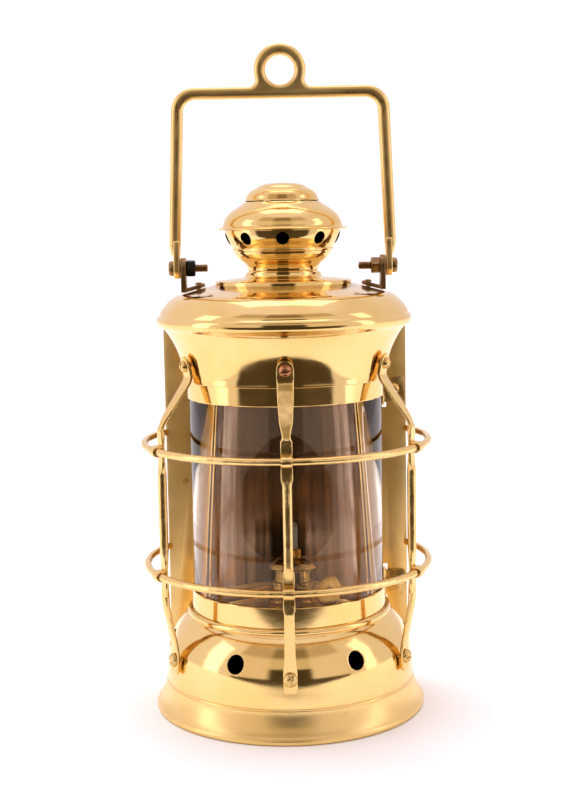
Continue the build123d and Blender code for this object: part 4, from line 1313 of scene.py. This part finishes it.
class LANTERN_OT_wick_wheel(bpy.types.Operator):
    """Milled thumb wheel on its long spindle"""
    bl_idname = "lantern.wick_wheel"
    bl_label = "Wick wheel"

    def execute(self, context):
        reach = 32.4
        thick = 2.0
        rim = 7.0
        teeth = 40
        start_clean()
        bpy.ops.mesh.primitive_cylinder_add(vertices=2 * teeth, radius=(rim - 0.35) * MM, depth=thick * MM)
        wheel = bpy.context.object
        wheel.name = "thumb_wheel_milled"
        bpy.ops.object.mode_set(mode="EDIT")
        edit = bmesh.from_edit_mesh(wheel.data)
        sides = [face for face in edit.faces if abs(face.normal.z) < 0.5]
        sides.sort(key=lambda face: math.atan2(face.normal.y, face.normal.x))
        for face in edit.faces:
            face.select_set(False)
        for face in sides[::2]:
            face.select_set(True)
        bmesh.update_edit_mesh(wheel.data)
        bpy.ops.mesh.extrude_faces_move(TRANSFORM_OT_shrink_fatten={"value": 0.35 * MM})
        bpy.ops.object.mode_set(mode="OBJECT")
        soften(wheel, 0.08, 1, 50)
        boss = turned("boss", outline([
            [(0.0, 1.75), (1.6, 1.7), (2.2, 1.3)], [(2.4, 1.0)], [(4.9, 0.95)],
            [(5.3, 1.15)], [(0.0, 1.15)]], 0.5), closed=False, steps=48)
        wheel = merge_pieces("thumb_wheel_milled", wheel, boss)
        place(wheel, looking(WHEEL_AXIS, WHEEL_SPOT + WHEEL_AXIS * (reach + thick / 2)))
        dress(wheel, "burner_brass", "thumb_wheel", body="wick_wheel", slot="burner_brass")
        spindle = rod("wick_spindle_drawn", 1.0, WHEEL_SPOT - WHEEL_AXIS * 6.5,
                      WHEEL_SPOT + WHEEL_AXIS * (reach + 0.1), 32)
        soften(spindle, 0.15, 2, 50)
        dress(spindle, "burner_brass", "wick_spindle", body="wick_wheel", slot="burner_brass")
        return {"FINISHED"}


class LANTERN_OT_wick(bpy.types.Operator):
    """Flat cotton wick with a frayed top"""
    bl_idname = "lantern.wick"
    bl_label = "Wick"

    def execute(self, context):
        width = 8.6
        thick = 1.6
        fray = 2.0
        bottom, end = heights("wick")
        top = end - fray
        start_clean()
        bpy.ops.mesh.primitive_grid_add(x_subdivisions=18, y_subdivisions=3, size=1)
        wick = bpy.context.object
        wick.name = "cotton_wick"
        resize(wick, ((width - 0.5) * MM, (thick - 0.5) * MM, 1))
        bpy.ops.object.mode_set(mode="EDIT")
        bpy.ops.mesh.select_all(action="SELECT")
        for height in (2.0, top - bottom - 4.0, 1.0, 0.6):
            bpy.ops.mesh.extrude_region_move(TRANSFORM_OT_translate={"value": (0, 0, height * MM)})
        face_out()
        soften(wick, 0.3, 2, 60)
        place(wick, along_wheel(BURNER_X, 0, bottom))
        strands = [wick]
        across = Vector((WHEEL_AXIS.x, WHEEL_AXIS.y, 0)).normalized()
        through = Vector((-across.y, across.x, 0))
        wick_end = Vector((BURNER_X, 0, top - 0.6))
        count = 34
        for index in range(count):
            along = (index / (count - 1) - 0.5) * (width - 1.4)
            lean = math.sin(index * 2.39) * 0.35
            tall = 1.1 + 0.9 * abs(math.sin(index * 1.71 + 0.6))
            root = wick_end + across * along + through * (math.sin(index * 3.3) * 0.45)
            tip = root + Vector((0, 0, tall)) + across * lean + through * (math.cos(index * 2.1) * 0.25)
            strands.append(rod("strand", 0.16, root - Vector((0, 0, 0.6)), tip, 6))
        wick = merge_pieces("cotton_wick", *strands)
        dress(wick, "wick_cotton", "wick", body="wick_strip", slot="wick_cotton", angle=60)
        return {"FINISHED"}


# ---------------------------------------------------------------- stage
class LANTERN_OT_stage(bpy.types.Operator):
    """Pale floor, soft studio light and the camera"""
    bl_idname = "lantern.stage"
    bl_label = "Stage"

    def execute(self, context):
        start_clean()
        depth = 40.0
        front_edge = -0.21
        bpy.ops.mesh.primitive_plane_add(size=1, location=(0, front_edge + depth / 2, CAD_BOX[0][2]))
        floor = bpy.context.object
        floor.name = "floor"
        floor.scale = (2 * depth, depth, 1)
        floor.data.materials.append(material("pale_floor"))
        bpy.ops.object.transform_apply(location=True, rotation=True, scale=True)
        self.lamps()
        self.sky(context.scene)
        self.camera(context.scene)
        context.scene.view_settings.view_transform = "Standard"
        return {"FINISHED"}

    def lamps(self):
        """Softboxes that show in the brass, and a wide soft overhead glow that only lights what is matt."""
        boxes = (
            ("left_box", (-1.5, -0.35, 0.55), (0, 0, 0.16), 0.5, 1.5, 2.7),
            ("right_box", (1.5, -0.30, 0.60), (0, 0, 0.16), 0.4, 1.4, 1.9),
            ("top_box", (0.0, 0.3, 1.5), (0, 0, 0.1), 1.0, 0.7, 2.4),
        )
        for name, spot, target, width, height, power in boxes:
            lamp = bpy.data.lights.new(name, "AREA")
            lamp.shape = "RECTANGLE"
            lamp.size = width
            lamp.size_y = height
            lamp.energy = power
            lamp.color = (1.0, 0.94, 1.0)
            holder = bpy.data.objects.new(name, lamp)
            holder.location = spot
            aim = Vector(target) - Vector(spot)
            holder.rotation_euler = aim.to_track_quat("-Z", "Y").to_euler()
            bpy.context.scene.collection.objects.link(holder)
        glow = bpy.data.lights.new("overhead_glow", "SUN")
        glow.energy = 1.9
        glow.angle = math.radians(70)
        holder = bpy.data.objects.new("overhead_glow", glow)
        holder.rotation_euler = (math.radians(-12), math.radians(-8), 0)
        holder.visible_glossy = False
        holder.visible_transmission = False
        bpy.context.scene.collection.objects.link(holder)

    def sky(self, scene):
        """White tent round the sides, back and top, with a dim room in front of the lantern."""
        world = bpy.data.worlds.new("white_tent")
        scene.world = world
        world.use_nodes = True
        tree = world.node_tree
        tree.nodes.clear()
        place_node = tree.nodes.new("ShaderNodeTexCoord")
        parts = add_node(tree, "ShaderNodeSeparateXYZ", Vector=place_node.outputs["Generated"])
        level = self.level_direction(tree, parts)
        height = parts.outputs["Z"]
        front = self.soft_step(tree, level["front"], 0.53, 0.60)
        above_table = self.soft_step(tree, height, -0.07, 0.01)
        core = self.soft_step(tree, level["front"], 0.925, 0.955)
        window = self.soft_step(tree, height, 0.38, 0.44)
        ceiling = self.soft_step(tree, height, 0.58, 0.66)
        wall_tone = self.mix(tree, ceiling, (0.90, 0.78, 0.76), (0.62, 0.50, 0.42))
        room_tone = self.mix(tree, above_table, (0.085, 0.06, 0.04), wall_tone)
        core_tone = self.mix(tree, window, (0.07, 0.05, 0.03), (0.74, 0.64, 0.52))
        core_tone = self.mix(tree, ceiling, core_tone, (0.30, 0.23, 0.15))
        room_tone = self.mix(tree, core, room_tone, core_tone)
        side = self.soft_step(tree, level["right"], -0.2, 0.9)
        tent_tone = self.mix(tree, side, (0.98, 0.885, 0.95), (0.90, 0.80, 0.84))
        overhead = self.soft_step(tree, parts.outputs["Z"], 0.80, 0.92)
        tone = self.mix(tree, front, tent_tone, room_tone)
        tone = self.mix(tree, overhead, tone, (1.02, 0.925, 1.07))
        glow = add_node(tree, "ShaderNodeBackground", Color=tone, Strength=0.98)
        plain = add_node(tree, "ShaderNodeBackground", Color=(1, 1, 1, 1), Strength=1.05)
        path = tree.nodes.new("ShaderNodeLightPath")
        choose = tree.nodes.new("ShaderNodeMixShader")
        output = tree.nodes.new("ShaderNodeOutputWorld")
        tree.links.new(path.outputs["Is Camera Ray"], choose.inputs[0])
        tree.links.new(glow.outputs[0], choose.inputs[1])
        tree.links.new(plain.outputs[0], choose.inputs[2])
        tree.links.new(choose.outputs[0], output.inputs["Surface"])

    def level_direction(self, tree, parts):
        """How far a direction points to the front and to the right, whatever its height."""
        squares = self.sums(tree, "ADD", self.sums(tree, "MULTIPLY", parts.outputs["X"], parts.outputs["X"]),
                            self.sums(tree, "MULTIPLY", parts.outputs["Y"], parts.outputs["Y"]))
        reach = self.sums(tree, "MAXIMUM", self.sums(tree, "SQRT", squares), 0.001)
        backward = self.sums(tree, "DIVIDE", parts.outputs["Y"], reach)
        return {"front": self.sums(tree, "MULTIPLY", backward, -1.0),
                "right": self.sums(tree, "DIVIDE", parts.outputs["X"], reach)}

    def sums(self, tree, operation, *terms):
        made = tree.nodes.new("ShaderNodeMath")
        made.operation = operation
        for index, term in enumerate(terms):
            if isinstance(term, bpy.types.NodeSocket):
                tree.links.new(term, made.inputs[index])
            else:
                made.inputs[index].default_value = term
        return made.outputs[0]

    def soft_step(self, tree, value, start, end):
        made = add_node(tree, "ShaderNodeMapRange", Value=value, From_Min=start, From_Max=end)
        made.interpolation_type = "SMOOTHSTEP"
        return made.outputs["Result"]

    def mix(self, tree, factor, low, high):
        made = add_node(tree, "ShaderNodeMix", Factor=factor)
        made.data_type = "RGBA"
        for index, tone in ((6, low), (7, high)):
            if isinstance(tone, bpy.types.NodeSocket):
                tree.links.new(tone, made.inputs[index])
            else:
                made.inputs[index].default_value = (*tone, 1)
        return made.outputs[2]

    def camera(self, scene):
        """Slightly above the middle, looking down a little, with a long lens."""
        lens = bpy.data.cameras.new("camera")
        lens.sensor_width = 36.0
        lens.lens = 61.75
        lens.clip_start = 0.01
        holder = bpy.data.objects.new("camera", lens)
        holder.location = (0.0, -0.6656, 0.2307)
        look_down = 6.866
        pitch = math.radians(90 - look_down)
        roll = math.radians(-1.02)
        holder.rotation_euler = (Matrix.Rotation(pitch, 4, "X") @ Matrix.Rotation(roll, 4, "Z")).to_euler()
        scene.collection.objects.link(holder)
        scene.camera = holder


PIECES = (
    LANTERN_OT_base, LANTERN_OT_bands, LANTERN_OT_glass, LANTERN_OT_top, LANTERN_OT_chimney, LANTERN_OT_wings,
    LANTERN_OT_hinges, LANTERN_OT_door, LANTERN_OT_latch, LANTERN_OT_bars, LANTERN_OT_rings,
    LANTERN_OT_guard_screws, LANTERN_OT_bail, LANTERN_OT_bail_fixings, LANTERN_OT_inside, LANTERN_OT_burner,
    LANTERN_OT_wick_wheel, LANTERN_OT_wick, LANTERN_OT_stage,
)


class LANTERN_PT_sidebar(bpy.types.Panel):
    """Buttons and values of the lantern"""
    bl_idname = "LANTERN_PT_sidebar"
    bl_label = "Ship Lantern"
    bl_space_type = "VIEW_3D"
    bl_region_type = "UI"
    bl_category = "Lantern"

    def draw(self, context):
        for name in LanternValues.__annotations__:
            self.layout.prop(context.scene.lantern_values, name)
        for piece in PIECES:
            self.layout.operator(piece.bl_idname)


CLASSES = (LanternValues, *PIECES, LANTERN_PT_sidebar)


def register():
    for each in CLASSES:
        bpy.utils.register_class(each)
    bpy.types.Scene.lantern_values = bpy.props.PointerProperty(type=LanternValues)


def unregister():
    del bpy.types.Scene.lantern_values
    for each in reversed(CLASSES):
        bpy.utils.unregister_class(each)


def main():
    register()
    make_materials()
    for piece in PIECES:
        family, operator = piece.bl_idname.split(".")
        getattr(getattr(bpy.ops, family), operator)()
    start_clean()


if __name__ == "__main__":
    main()
